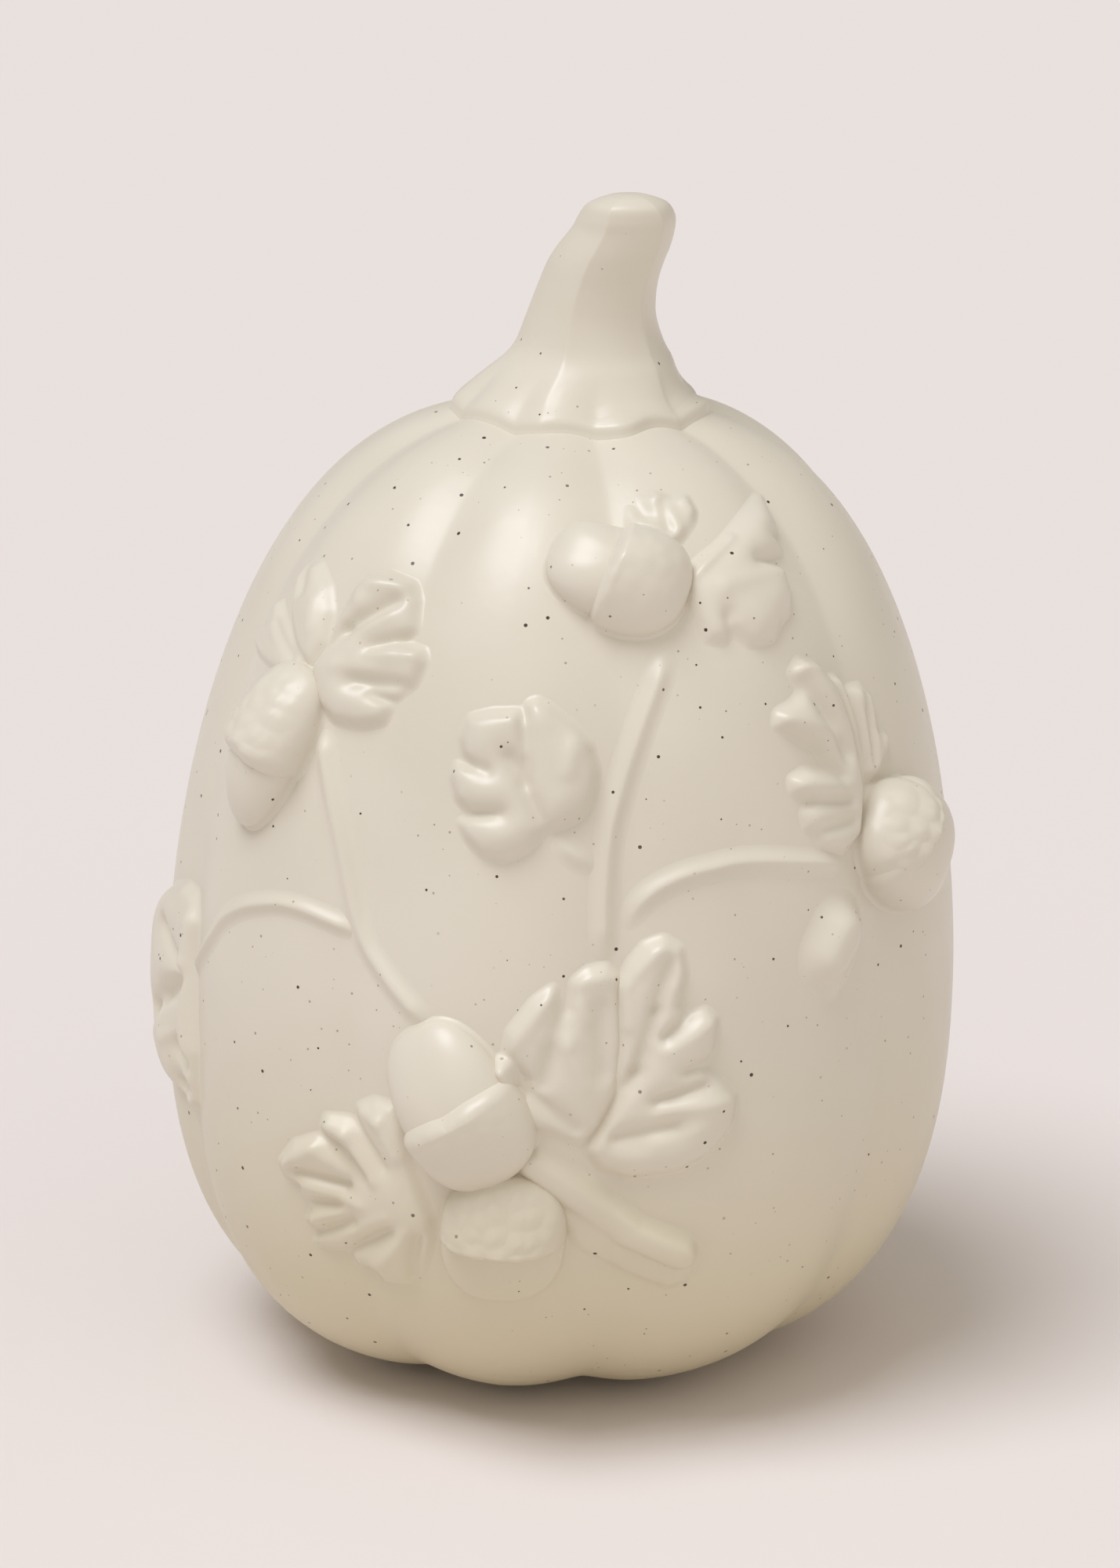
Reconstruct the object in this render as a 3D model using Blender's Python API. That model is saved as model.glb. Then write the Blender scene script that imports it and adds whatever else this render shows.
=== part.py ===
"""Ceramic pumpkin figure: a hollow lobed body, a leaning ribbed stem, and luted-on leaves, acorns and twigs.

Azimuths are in degrees from the front (-Y), growing towards +X.
An arc is a height measured along the outer skin, from the middle of the base up to the crown.
Sprigs are the small pressed ornaments that are stuck on the body with slip.
"""
import math

import bmesh
import bpy
import numpy as np

# Body, in metres
BELLY_RADIUS = 0.070
BELLY_HEIGHT = 0.0664
BODY_HEIGHT = 0.1715
LOWER_POWERS = (2.42, 3.38)
UPPER_POWERS = (1.835, 3.01)
GROOVE_AZIMUTHS = (-73, -31, 8, 54, 99, 143, 188, 237)
GROOVE_DEPTH = 0.0032
GROOVE_WIDTH = 9.5
GROOVE_POWER = 1.5
GROOVE_FADE_RADIUS = 0.0245
LEAN = 0.029
WALL = 0.005
FOOT_RADIUS = 0.034
FOOT_EDGE = 0.005
VENT_RADIUS = 0.006

# Felt ring under the foot
FELT_THICKNESS = 0.0015
FELT_MARGIN = 0.002
FELT_HOLE_MARGIN = 0.003

# Stem
STEM_HEIGHT = 0.035
STEM_FOOT_RADIUS = 0.0215
STEM_TIP_RADIUS = 0.0088
STEM_FOOT_EDGE = 0.0022
STEM_LEAN = 0.0086
STEM_RIBS = 6
STEM_RIB_SHARE = 0.07
STEM_RIB_FADE = 0.7
STEM_TIP_ROUND = 0.005
STEM_FLARE_POWER = 3.2
STEM_BEND_POWER = 1.7
STEM_FOOT_BLEND = 0.15
STEM_RISES = (0, 0.05, 0.12, 0.22, 0.36, 0.52, 0.70, 0.86, 0.93, 0.975, 1.0)

# Clearances between touching pieces. The slip under a sprig is thicker where it bridges deeper grooves
SEAT_GAP = 0.0003
LUTE_GAP = SEAT_GAP + GROOVE_DEPTH / 8
SPRIG_GAP = 0.0007

# Relief heights of the sprigs
LEAF_HEIGHT = 0.0032
LEAF_EDGE = 0.0012
LEAF_WAIST = 0.45
LEAF_BASE_RADIUS = 0.0012
TWIG_HEIGHT = 0.0015
TWIG_HALF_WIDTH = 0.0017

# The sprigs below are drawn for a body of this belly radius and skin length
DRAWN_RADIUS = 0.070
DRAWN_ARC = 0.2579

# Mesh fineness
LOBE_STEPS = 8
OUTER_RINGS = 22
INNER_RINGS = 10
STEM_SIDES = 24
LEAF_RAYS = 24
LEAF_RING_STEP = 0.0065
MARCH_STEP = 0.00025
TABLE_STEP = 0.0001
ROUTE_STEPS = 80
LEAST_HALF_WIDTH = 0.0004
BLUNT_TIP = 0.015
BLUNT_BUD = 0.06

# Acorns in drawn millimetres: rim azimuth, rim arc, way the nut points,
# nut length, nut half-width, nut height, cap length, cap half-width, cap height
ACORNS = {
    "upper_left": (-52, 168, 184, 14.5, 7.2, 6.5, 15.0, 8.2, 7.5),
    "upper_right": (9.8, 203.5, -53, 14.0, 7.6, 6.5, 12.5, 8.6, 7.5),
    "right": (62.5, 150, 160, 15.0, 7.2, 7.0, 12.5, 7.6, 7.5),
    "bottom_upper": (-14.4, 111.8, -34, 17.0, 10.6, 9.0, 12.5, 10.2, 8.0),
    "bottom_lower": (-7.8, 91.5, 178, 16.5, 10.2, 4.5, 11.0, 10.6, 6.0),
}

# Bud and branch in drawn millimetres: route of (azimuth, arc), half-width, height
BUD = (((39.2, 130), (41.6, 135), (43.9, 140.4)), 4.2, 4.0)
BRANCH = (((-3.3, 104), (2.1, 98), (9.1, 91), (17.2, 86.5)), 2.9, 3.2)

# Twig routes of (azimuth, arc in drawn millimetres)
TWIGS = {
    "twig_upper_left": ((-41.6, 173.5), (-38.9, 164.6), (-33.1, 148.6), (-30.4, 141.2), (-19.5, 128.5)),
    "twig_left_arch": ((-62.9, 125.9), (-59.0, 133), (-53.0, 140.5), (-43.0, 144), (-30.4, 141.2)),
    "twig_long": ((16.0, 189.1), (9.9, 173.5), (6.4, 160.9), (5.2, 153.1), (5.6, 138.6)),
    "twig_leaf_stalk": ((-2.9, 159.7), (0.2, 157.5), (4.1, 154.5)),
    "twig_right_arch": ((9.1, 144.1), (14.5, 151.6), (26.9, 153.8), (43.9, 150.5)),
}

# Leaves in degrees and drawn millimetres: base azimuth, base arc,
# and fingers of (direction, reach, half-width).
# A direction is measured on the skin from straight up, clockwise.
LEAVES = {
    "leaf_bottom_right": (4.1, 106.2, ((12, 30, 4.0), (21, 37.5, 4.5), (43, 30, 4.5), (58, 27, 4.0),
                                      (72, 26, 4.2), (95, 19.5, 4.2), (122, 11, 3.0))),
    "leaf_bottom_middle": (0.6, 108.8, ((11, 29, 3.5), (2, 23, 3.2), (-10, 25, 3.2), (-29, 19, 3.4),
                                        (-52, 11, 2.8))),
    "leaf_bottom_left": (-19.5, 93.6, ((-81, 27.5, 3.2), (-67, 24, 3.0), (-50, 21, 3.0), (-34, 20, 3.0),
                                       (-18, 13, 2.5), (-105, 23, 3.0), (-121, 22, 3.0), (-142, 19, 3.2),
                                       (-168, 12.5, 3.0))),
    "leaf_centre": (-3.7, 161.6, ((75, 8, 3.0), (45, 12.5, 3.6), (22, 16, 4.0), (-3, 20, 3.6),
                                  (-22, 19.5, 3.6), (-40, 20.5, 3.8), (-62, 17.5, 3.6), (-82, 13.5, 3.4),
                                  (-108, 12, 3.2), (-135, 9, 3.0))),
    "leaf_upper_right": (23.0, 202.5, ((45, 15, 3.6), (60, 26, 3.8), (77, 23, 3.6), (96, 19.5, 3.6),
                                       (114, 19, 3.6), (138, 17, 3.6), (159, 12.5, 3.0))),
    "leaf_upper_right_curled": (25.3, 209.2, ((-65, 9.5, 2.4), (-35, 10.5, 2.6), (-10, 10, 2.4),
                                              (18, 7, 2.2))),
    "leaf_right": (52.4, 157.5, ((-21, 28, 3.4), (-2, 22, 2.8), (-39, 23.5, 3.4), (-54, 22.5, 3.2),
                                 (-68, 17.5, 3.0), (-88, 15, 2.8), (-107, 11.5, 2.6))),
    "leaf_right_narrow": (56.3, 162.7, ((-2, 15, 2.0), (14, 14, 2.0), (30, 11, 1.9), (48, 8, 1.8))),
    "leaf_upper_left": (-47.8, 183.2, ((-8, 13, 2.8), (10, 17.5, 3.4), (31, 20, 3.4), (50, 20, 3.5),
                                       (74, 20, 3.6), (92, 19, 3.2), (110, 16.5, 3.2), (131, 13, 2.8))),
    "leaf_upper_left_second": (-49.5, 184.5, ((-84, 24, 3.2), (-66, 25, 3.2), (-48, 24, 3.2),
                                              (-30, 18, 3.0))),
    "leaf_left": (-63.5, 122, ((-60, 24, 3.4), (-80, 26, 3.6), (-100, 30, 3.8), (-118, 31, 3.8),
                                 (-136, 31, 3.6), (-155, 26, 3.2))),
}

# What the back repeats, half a turn round from the front
BACK_ACORNS = ("upper_right", "bottom_upper", "bottom_lower")
BACK_TWIGS = ("twig_upper_left", "twig_long", "twig_right_arch")
BACK_LEAVES = ("leaf_bottom_right", "leaf_bottom_left", "leaf_centre", "leaf_upper_right", "leaf_right",
               "leaf_upper_left")
BACK_TURN = 180

GLAZE_COLOUR = (0.76, 0.70, 0.60, 1.0)
FELT_COLOUR = (0.30, 0.28, 0.25, 1.0)


# Outline of the body as a table of radius, height and arc, foot pole to crown
def skin_table(count=2000):
    low = np.linspace(0, math.pi / 2, count)
    high = np.linspace(math.pi / 2, math.pi, count)[1:]
    sine_low, cosine_low = np.clip(np.sin(low), 0, 1), np.clip(np.cos(low), 0, 1)
    sine_high, cosine_high = np.clip(np.sin(high), 0, 1), np.clip(-np.cos(high), 0, 1)
    radius = BELLY_RADIUS * np.r_[sine_low ** (2 / LOWER_POWERS[1]), sine_high ** (2 / UPPER_POWERS[1])]
    rise = BODY_HEIGHT - BELLY_HEIGHT
    height = np.r_[BELLY_HEIGHT * (1 - cosine_low ** (2 / LOWER_POWERS[0])),
                   BELLY_HEIGHT + rise * cosine_high ** (2 / UPPER_POWERS[0])]
    arc = np.r_[0, np.cumsum(np.hypot(np.diff(radius), np.diff(height)))]
    slope_r, slope_z = np.gradient(radius, arc), np.gradient(height, arc)
    length = np.hypot(slope_r, slope_z)
    foot = float(np.interp(FOOT_RADIUS, radius[:count], arc[:count]))
    even = np.arange(0, arc[-1] + 2 * TABLE_STEP, TABLE_STEP)
    columns = (radius, height, slope_z / length, -slope_r / length)
    return float(arc[-1]), foot, np.stack([np.interp(even, arc, column) for column in columns], 1).tolist()


ARC_TOTAL, FOOT_ARC, SKIN_ROWS = skin_table()
ARC_SCALE = ARC_TOTAL / DRAWN_ARC
SPRIG_SCALE = min(BELLY_RADIUS / DRAWN_RADIUS, ARC_SCALE)


def profile(arc):
    """Radius, height and outward normal of the smooth outline at an arc."""
    spot = min(max(arc, 0.0), ARC_TOTAL) / TABLE_STEP
    low = int(spot)
    share = spot - low
    return [a + (b - a) * share for a, b in zip(SKIN_ROWS[low], SKIN_ROWS[low + 1])]


FOOT_Z = profile(FOOT_ARC)[1]
BODY_LIFT = FELT_THICKNESS + SEAT_GAP - FOOT_Z


def skin_radius(arc):
    return max(SKIN_ROWS[int(min(max(arc, 0.0), ARC_TOTAL) / TABLE_STEP)][0], STEM_TIP_RADIUS)


def groove(azimuth):
    nearest = min(abs((azimuth - g + 180) % 360 - 180) for g in GROOVE_AZIMUTHS)
    return math.exp(-((nearest / GROOVE_WIDTH) ** GROOVE_POWER))


def groove_fade(radius):
    return min(radius / GROOVE_FADE_RADIUS, 1.0)


def place(azimuth, radius, height):
    turn = math.radians(azimuth)
    lean = LEAN * (height - BELLY_HEIGHT)
    return (radius * math.sin(turn) + lean, -radius * math.cos(turn), height + BODY_LIFT)


def skin(azimuth, arc, lift):
    """World point at a lift above the grooved skin."""
    radius, height, normal_r, normal_z = profile(arc)
    lift = lift - GROOVE_DEPTH * groove(azimuth) * groove_fade(radius)
    return place(azimuth, radius + normal_r * lift, height + normal_z * lift)


# Materials and objects
def material(name, colour, roughness):
    made = bpy.data.materials.new(name)
    made.use_nodes = True
    shader = made.node_tree.nodes["Principled BSDF"]
    shader.inputs["Base Color"].default_value = colour
    shader.inputs["Roughness"].default_value = roughness
    shader.inputs["Metallic"].default_value = 0.0
    return made


def add_object(name, mesh, look):
    mesh.materials.append(look)
    mesh.shade_smooth()
    mesh.set_sharp_from_angle(angle=math.radians(40))
    made = bpy.data.objects.new(name, mesh)
    made.parent = root
    parts.objects.link(made)
    return made


def object_from_faces(name, points, faces, look):
    mesh = bpy.data.meshes.new(name)
    mesh.from_pydata(points, [], faces)
    shape = bmesh.new()
    shape.from_mesh(mesh)
    bmesh.ops.recalc_face_normals(shape, faces=shape.faces)
    shape.to_mesh(mesh)
    shape.free()
    return add_object(name, mesh, look)


# Body: a closed wall profile spun round the axis, then pressed into lobes and leaned
def wall_profile():
    """Points of (radius, height, groove share in r, groove share in z), outer crown to inner crown."""
    rows = []
    for arc in np.linspace(ARC_TOTAL, FOOT_ARC, OUTER_RINGS):
        radius, height, normal_r, normal_z = profile(arc)
        fade = groove_fade(radius)
        rows.append((radius, height, normal_r * fade, normal_z * fade))
    flat = FOOT_RADIUS - FOOT_EDGE
    rows += [(flat, FOOT_Z, 0, 0), (VENT_RADIUS, FOOT_Z, 0, 0), (VENT_RADIUS, FOOT_Z + WALL, 0, 0)]
    rows.append((flat - WALL, FOOT_Z + WALL, 0, 0))
    low_arc = FOOT_ARC + WALL
    for arc in np.linspace(low_arc, ARC_TOTAL, INNER_RINGS):
        radius, height, normal_r, normal_z = profile(arc)
        fade = groove_fade(radius)
        inner = max(radius - WALL * normal_r, 0.0)
        rows.append((inner, height - WALL * normal_z, normal_r * fade, normal_z * fade))
    rows[0] = (0.0, BODY_HEIGHT, 0, 0)
    rows[-1] = (0.0, BODY_HEIGHT - WALL, 0, 0)
    return rows


def lobed_azimuth(azimuth):
    """Moves an even spin angle so that every groove runs along a column of points."""
    steps = LOBE_STEPS * len(GROOVE_AZIMUTHS)
    column = round(azimuth / 360 * steps) % steps
    lobe, step = divmod(column, LOBE_STEPS)
    start = GROOVE_AZIMUTHS[lobe]
    end = GROOVE_AZIMUTHS[lobe + 1] if lobe + 1 < len(GROOVE_AZIMUTHS) else GROOVE_AZIMUTHS[0] + 360
    return start + (end - start) * step / LOBE_STEPS


def make_body():
    shape = bmesh.new()
    share_r = shape.verts.layers.float.new("groove_r")
    share_z = shape.verts.layers.float.new("groove_z")
    chain = []
    for radius, height, in_r, in_z in wall_profile():
        point = shape.verts.new((radius, 0, height))
        point[share_r], point[share_z] = in_r, in_z
        chain.append(point)
    edges = [shape.edges.new(pair) for pair in zip(chain, chain[1:])]
    bmesh.ops.spin(shape, geom=chain + edges, cent=(0, 0, 0), axis=(0, 0, 1), angle=math.tau,
                   steps=LOBE_STEPS * len(GROOVE_AZIMUTHS))
    bmesh.ops.remove_doubles(shape, verts=shape.verts, dist=0.00001)
    for point in shape.verts:
        radius = math.hypot(point.co.x, point.co.y)
        azimuth = lobed_azimuth(math.degrees(math.atan2(point.co.x, -point.co.y)))
        depth = GROOVE_DEPTH * groove(azimuth)
        point.co = place(azimuth, radius - depth * point[share_r], point.co.z - depth * point[share_z])
    bmesh.ops.recalc_face_normals(shape, faces=shape.faces)
    mesh = bpy.data.meshes.new("body_shell")
    shape.to_mesh(mesh)
    shape.free()
    return add_object("body_shell", mesh, glaze)


# Felt ring: a flat disc with a hole cut under the vent
def make_felt():
    outer = FOOT_RADIUS - FOOT_EDGE - FELT_MARGIN
    inner = VENT_RADIUS + FELT_HOLE_MARGIN
    bpy.ops.mesh.primitive_cylinder_add(vertices=48, radius=outer, depth=FELT_THICKNESS)
    disc = bpy.context.object
    bpy.ops.mesh.primitive_cylinder_add(vertices=32, radius=inner, depth=FELT_THICKNESS * 3)
    punch = bpy.context.object
    for item, home in ((disc, parts), (punch, cutters)):
        for old in list(item.users_collection):
            old.objects.unlink(item)
        home.objects.link(item)
        item.location = place(0, 0, 0)[:2] + (FELT_THICKNESS / 2,)
        item.parent = root
    disc.name = disc.data.name = "felt_ring"
    punch.name = "felt_ring_hole"
    punch.hide_render = True
    punch.display_type = "WIRE"
    cut = disc.modifiers.new("hole", "BOOLEAN")
    cut.operation = "DIFFERENCE"
    cut.object = punch
    disc.data.materials.append(felt)


# Stem: rings lofted from a ribbed foot on the crown to a rounded, leaning tip
def stem_rib(azimuth, share):
    return 1 + STEM_RIB_SHARE * share * math.cos(math.radians(STEM_RIBS * azimuth + 90))


def stem_ring(rise):
    """Ring of points at a share of the stem's height."""
    spread = STEM_FOOT_RADIUS - STEM_TIP_RADIUS
    radius = STEM_TIP_RADIUS + spread * (1 - rise) ** STEM_FLARE_POWER
    above = STEM_FOOT_EDGE + rise * (STEM_HEIGHT - STEM_FOOT_EDGE)
    to_end = STEM_HEIGHT - above
    if to_end < STEM_TIP_ROUND:
        radius *= math.sqrt(max(1 - (1 - to_end / STEM_TIP_ROUND) ** 2, BLUNT_TIP))
    shift = STEM_LEAN * rise**STEM_BEND_POWER
    points = []
    for side in range(STEM_SIDES):
        azimuth = 360 * side / STEM_SIDES
        reach = radius * stem_rib(azimuth, 1 - STEM_RIB_FADE * rise)
        foot = skin(azimuth, ARC_TOTAL - reach, LUTE_GAP + STEM_FOOT_EDGE)
        axis = place(0, 0, BODY_HEIGHT)
        turn = math.radians(azimuth)
        free = (axis[0] + shift + reach * math.sin(turn), -reach * math.cos(turn),
                axis[2] + LUTE_GAP + above)
        blend = min(rise / STEM_FOOT_BLEND, 1.0)
        points.append(tuple(a + (b - a) * blend for a, b in zip(foot, free)))
    return points


def seat_ring(share):
    points = []
    for side in range(STEM_SIDES):
        azimuth = 360 * side / STEM_SIDES
        reach = share * STEM_FOOT_RADIUS * stem_rib(azimuth, 1)
        points.append(skin(azimuth, ARC_TOTAL - reach, LUTE_GAP))
    return points


def make_stem():
    seat = [seat_ring(share) for share in (1 / 3, 2 / 3, 1)]
    rings = seat + [stem_ring(rise) for rise in STEM_RISES]
    points = [point for ring in rings for point in ring]
    faces = []
    for low in range(len(rings) - 1):
        for side in range(STEM_SIDES):
            after = (side + 1) % STEM_SIDES
            start, above = low * STEM_SIDES, (low + 1) * STEM_SIDES
            faces.append((start + side, start + after, above + after, above + side))
    faces.append(tuple(range(STEM_SIDES)))
    faces.append(tuple(range(len(points) - STEM_SIDES, len(points))))
    object_from_faces("stem", points, faces, glaze)


# Laying sprigs out on the skin so that none runs into another
taken = []


def offset(azimuth, arc, across, up):
    """Azimuth and arc of a point that lies across and up on the skin from another."""
    arc += up
    return azimuth + math.degrees(across / skin_radius(arc)), arc


def apart(azimuth, arc, other_azimuth, other_arc):
    """Across and up distances on the skin from another point."""
    turn = math.radians((azimuth - other_azimuth + 180) % 360 - 180)
    return turn * skin_radius((arc + other_arc) / 2), arc - other_arc


def is_clear(azimuth, arc, margin):
    """True where a point keeps a margin to every sprig already laid.

    Each sprig laid is an (azimuth, arc, bound, distance function).
    """
    for other_azimuth, other_arc, bound, distance in taken:
        if abs(arc - other_arc) > bound + margin:
            continue
        if math.hypot(*apart(azimuth, arc, other_azimuth, other_arc)) > bound + margin:
            continue
        if distance(azimuth, arc) <= margin:
            return False
    return True


def smooth_route(route, count):
    """Evenly spaced points of a smooth curve through a route of azimuths and arcs."""
    knots = np.array(route, float)
    spots = np.linspace(0, len(knots) - 1, count)
    tangents = np.gradient(knots, axis=0)
    points = []
    for spot in spots:
        low = min(int(spot), len(knots) - 2)
        t = spot - low
        start, end = knots[low], knots[low + 1]
        points.append((2 * t**3 - 3 * t**2 + 1) * start + (t**3 - 2 * t**2 + t) * tangents[low]
                      + (3 * t**2 - 2 * t**3) * end + (t**3 - t**2) * tangents[low + 1])
    return points


def clear_run(route, count):
    """The longest stretch of a route that keeps clear of the sprigs already laid, as stations along it."""
    fine = smooth_route(route, ROUTE_STEPS + 1)
    free = [is_clear(spot[0], spot[1], SPRIG_GAP) for spot in fine]
    best, start = (0, 0), None
    for index, is_free in enumerate(free + [False]):
        if is_free and start is None:
            start = index
        if not is_free and start is not None:
            best = max(best, (index - start, start))
            start = None
    length, start = best
    picks = np.linspace(start, start + length - 1, count).round().astype(int)
    return [(fine[pick], pick / ROUTE_STEPS) for pick in picks]


def side_room(azimuth, arc, across, up, width):
    """How far a section may spread to one side before it meets another sprig."""
    room = 0.0
    while room < width:
        spot = offset(azimuth, arc, across * (room + MARCH_STEP), up * (room + MARCH_STEP))
        if not is_clear(spot[0], spot[1], SPRIG_GAP):
            break
        room += MARCH_STEP
    return max(min(room, width), LEAST_HALF_WIDTH)


def make_ridge(name, route, half_width, height, stations, columns):
    """A half-round sprig swept along a route, with its back on the skin.

    half_width and height are functions of the share of the route's length.
    """
    run = clear_run(route, stations)
    sections = []
    for index, (spot, share) in enumerate(run):
        before, after = run[max(index - 1, 0)][0], run[min(index + 1, len(run) - 1)][0]
        ahead = apart(after[0], after[1], before[0], before[1])
        size = math.hypot(*ahead)
        across, up = ahead[1] / size, -ahead[0] / size
        width = half_width(share)
        left = side_room(spot[0], spot[1], -across, -up, width)
        right = side_room(spot[0], spot[1], across, up, width)
        top, back = [], []
        for column in range(columns + 1):
            turn = math.pi * column / columns
            slide = -math.cos(turn) * (left if turn < math.pi / 2 else right)
            foot = offset(spot[0], spot[1], across * slide, up * slide)
            lift = LUTE_GAP + height(share) * math.sin(turn)
            top.append(skin(foot[0], foot[1], lift))
            if 0 < column < columns:
                back.append(skin(foot[0], foot[1], LUTE_GAP))
        sections.append(top + back[::-1])
    round_count = len(sections[0])
    faces = [tuple(range(round_count))]
    for low in range(len(sections) - 1):
        for side in range(round_count):
            after = (side + 1) % round_count
            faces.append((low * round_count + side, low * round_count + after,
                          (low + 1) * round_count + after, (low + 1) * round_count + side))
    last = (len(sections) - 1) * round_count
    faces.append(tuple(range(last, last + round_count)))
    object_from_faces(name, [point for section in sections for point in section], faces, glaze)
    shape = [(spot[0], spot[1], half_width(share)) for spot, share in clear_run(route, 3 * stations)]

    def distance(azimuth, arc):
        return min(math.hypot(*apart(azimuth, arc, spot_azimuth, spot_arc)) - width
                   for spot_azimuth, spot_arc, width in shape)

    middle = shape[len(shape) // 2]
    bound = max(math.hypot(*apart(*spot[:2], *middle[:2])) + spot[2] for spot in shape)
    return middle[0], middle[1], bound, distance


def drawn(millimetres):
    return millimetres * 0.001 * SPRIG_SCALE


def drawn_arc(millimetres):
    return millimetres * 0.001 * ARC_SCALE


def turned_route(route, turn):
    return [(azimuth + turn, drawn_arc(arc)) for azimuth, arc in route]


def make_acorn(name, turn):
    """A nut and its cap, parted along the cap's rim."""
    rim_azimuth, rim_arc, way, *sizes = ACORNS[name]
    nut_length, nut_width, nut_height, cap_length, cap_width, cap_height = [drawn(size) for size in sizes]
    heading = math.radians(way)
    rim = (rim_azimuth + turn, drawn_arc(rim_arc))
    side = "" if turn == 0 else "back_"
    laid = []
    for piece, sign, length, width, height, fullness in (
        ("nut", 1, nut_length, nut_width, nut_height, 2.0),
        ("cap", -1, cap_length, cap_width, cap_height, 2.6),
    ):
        def ends(share):
            return offset(*rim, sign * share * math.sin(heading), sign * share * math.cos(heading))

        def round_off(share, power=fullness):
            return math.sqrt(max(1 - share**power, BLUNT_TIP))

        start = SPRIG_GAP / 2
        route = [ends(start + (length - start) * step / 4) for step in range(5)]
        laid.append(make_ridge(f"{side}acorn_{piece}_{name}", route, lambda share: width * round_off(share),
                               lambda share: height * round_off(share), 6, 6))
    taken.extend(laid)


def make_leaf(name, turn):
    """A lobed plate whose fingers spread from its base, crowned towards the middle."""
    azimuth, arc, fingers = LEAVES[name]
    azimuth, arc = azimuth + turn, drawn_arc(arc)
    fingers = [(math.radians(way), drawn(reach), drawn(width)) for way, reach, width in fingers]
    middle = math.radians(sum(way for way, _, _ in LEAVES[name][2]) / len(fingers))
    while not is_clear(azimuth, arc, SPRIG_GAP + LEAF_BASE_RADIUS):
        azimuth, arc = offset(azimuth, arc, MARCH_STEP * math.sin(middle), MARCH_STEP * math.cos(middle))

    def inside(across, up):
        for way, reach, width in fingers:
            along = across * math.sin(way) + up * math.cos(way)
            aside = abs(across * math.cos(way) - up * math.sin(way))
            spot = min(max(along, 0), reach - width)
            swell = width * (LEAF_WAIST + (1 - LEAF_WAIST) * spot / (reach - width))
            if math.hypot(along - spot, aside) < swell:
                return True
        return False

    rays = [math.tau * ray / LEAF_RAYS for ray in range(LEAF_RAYS)]
    reaches = []
    for ray in rays:
        reach = MARCH_STEP
        while inside(reach * math.sin(ray), reach * math.cos(ray)):
            further = reach + MARCH_STEP
            spot = offset(azimuth, arc, further * math.sin(ray), further * math.cos(ray))
            if not is_clear(spot[0], spot[1], SPRIG_GAP):
                break
            reach = further
        reaches.append(max(reach, LEAF_BASE_RADIUS / 2))
    top, back = [skin(azimuth, arc, LUTE_GAP + LEAF_HEIGHT)], [skin(azimuth, arc, LUTE_GAP)]
    rings = max(2, math.ceil(max(reaches) / LEAF_RING_STEP))
    for ring in range(1, rings + 1):
        share = ring / rings
        lift = LEAF_HEIGHT if ring < rings else LEAF_EDGE
        for ray, reach in zip(rays, reaches):
            spot = offset(azimuth, arc, share * reach * math.sin(ray), share * reach * math.cos(ray))
            top.append(skin(*spot, LUTE_GAP + lift))
            back.append(skin(*spot, LUTE_GAP))
    faces = []
    for ray in range(LEAF_RAYS):
        after = (ray + 1) % LEAF_RAYS
        for first in (0, len(top)):
            faces.append((first, first + 1 + ray, first + 1 + after))
            for ring in range(rings - 1):
                inner = first + 1 + ring * LEAF_RAYS
                outer = inner + LEAF_RAYS
                faces.append((inner + ray, outer + ray, outer + after, inner + after))
        edge = 1 + (rings - 1) * LEAF_RAYS
        faces.append((edge + ray, edge + after, len(top) + edge + after, len(top) + edge + ray))
    side = "" if turn == 0 else "back_"
    object_from_faces(side + name, top + back, faces, glaze)

    def distance(other_azimuth, other_arc):
        across, up = apart(other_azimuth, other_arc, azimuth, arc)
        ray = math.atan2(across, up) % math.tau / math.tau * LEAF_RAYS
        low = int(ray) % LEAF_RAYS
        nearest = max(reaches[low], reaches[(low + 1) % LEAF_RAYS])
        return math.hypot(across, up) - nearest

    taken.append((azimuth, arc, max(reaches), distance))


def make_sprigs(turn, acorns, twigs, leaves):
    side = "" if turn == 0 else "back_"
    for name in acorns:
        make_acorn(name, turn)
    for name, (route, width, height) in (("bud", BUD), ("branch", BRANCH)):
        def even(share, size=drawn(width)):
            return size

        def pinched(share, size=drawn(width)):
            return size * math.sqrt(max(1 - (2 * share - 1) ** 2, BLUNT_BUD))

        taken.append(make_ridge(side + name, turned_route(route, turn), pinched if name == "bud" else even,
                                lambda share, rise=drawn(height): rise, 6, 4))
    for name in twigs:
        taken.append(make_ridge(side + name, turned_route(TWIGS[name], turn), lambda share: TWIG_HALF_WIDTH,
                                lambda share: TWIG_HEIGHT, 9, 4))
    for name in leaves:
        make_leaf(name, turn)


def centre_on_origin():
    """Moves the whole figure so that the middle of its box's base is at the origin."""
    corners = [item.matrix_basis @ point.co for item in parts.objects if item.type == "MESH"
               for point in item.data.vertices]
    root.location.x = -(min(c.x for c in corners) + max(c.x for c in corners)) / 2
    root.location.y = -(min(c.y for c in corners) + max(c.y for c in corners)) / 2


for stale in list(bpy.data.objects):
    bpy.data.objects.remove(stale)
parts = bpy.data.collections.new("ceramic_pumpkin_figure")
cutters = bpy.data.collections.new("cutters")
for group in (parts, cutters):
    bpy.context.scene.collection.children.link(group)
root = bpy.data.objects.new("figure", None)
parts.objects.link(root)
glaze = material("cream_glaze", GLAZE_COLOUR, 0.3)
felt = material("grey_felt", FELT_COLOUR, 0.95)

make_body()
make_felt()
make_stem()
make_sprigs(0, ACORNS, TWIGS, LEAVES)
make_sprigs(BACK_TURN, BACK_ACORNS, BACK_TWIGS, BACK_LEAVES)
centre_on_origin()
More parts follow.
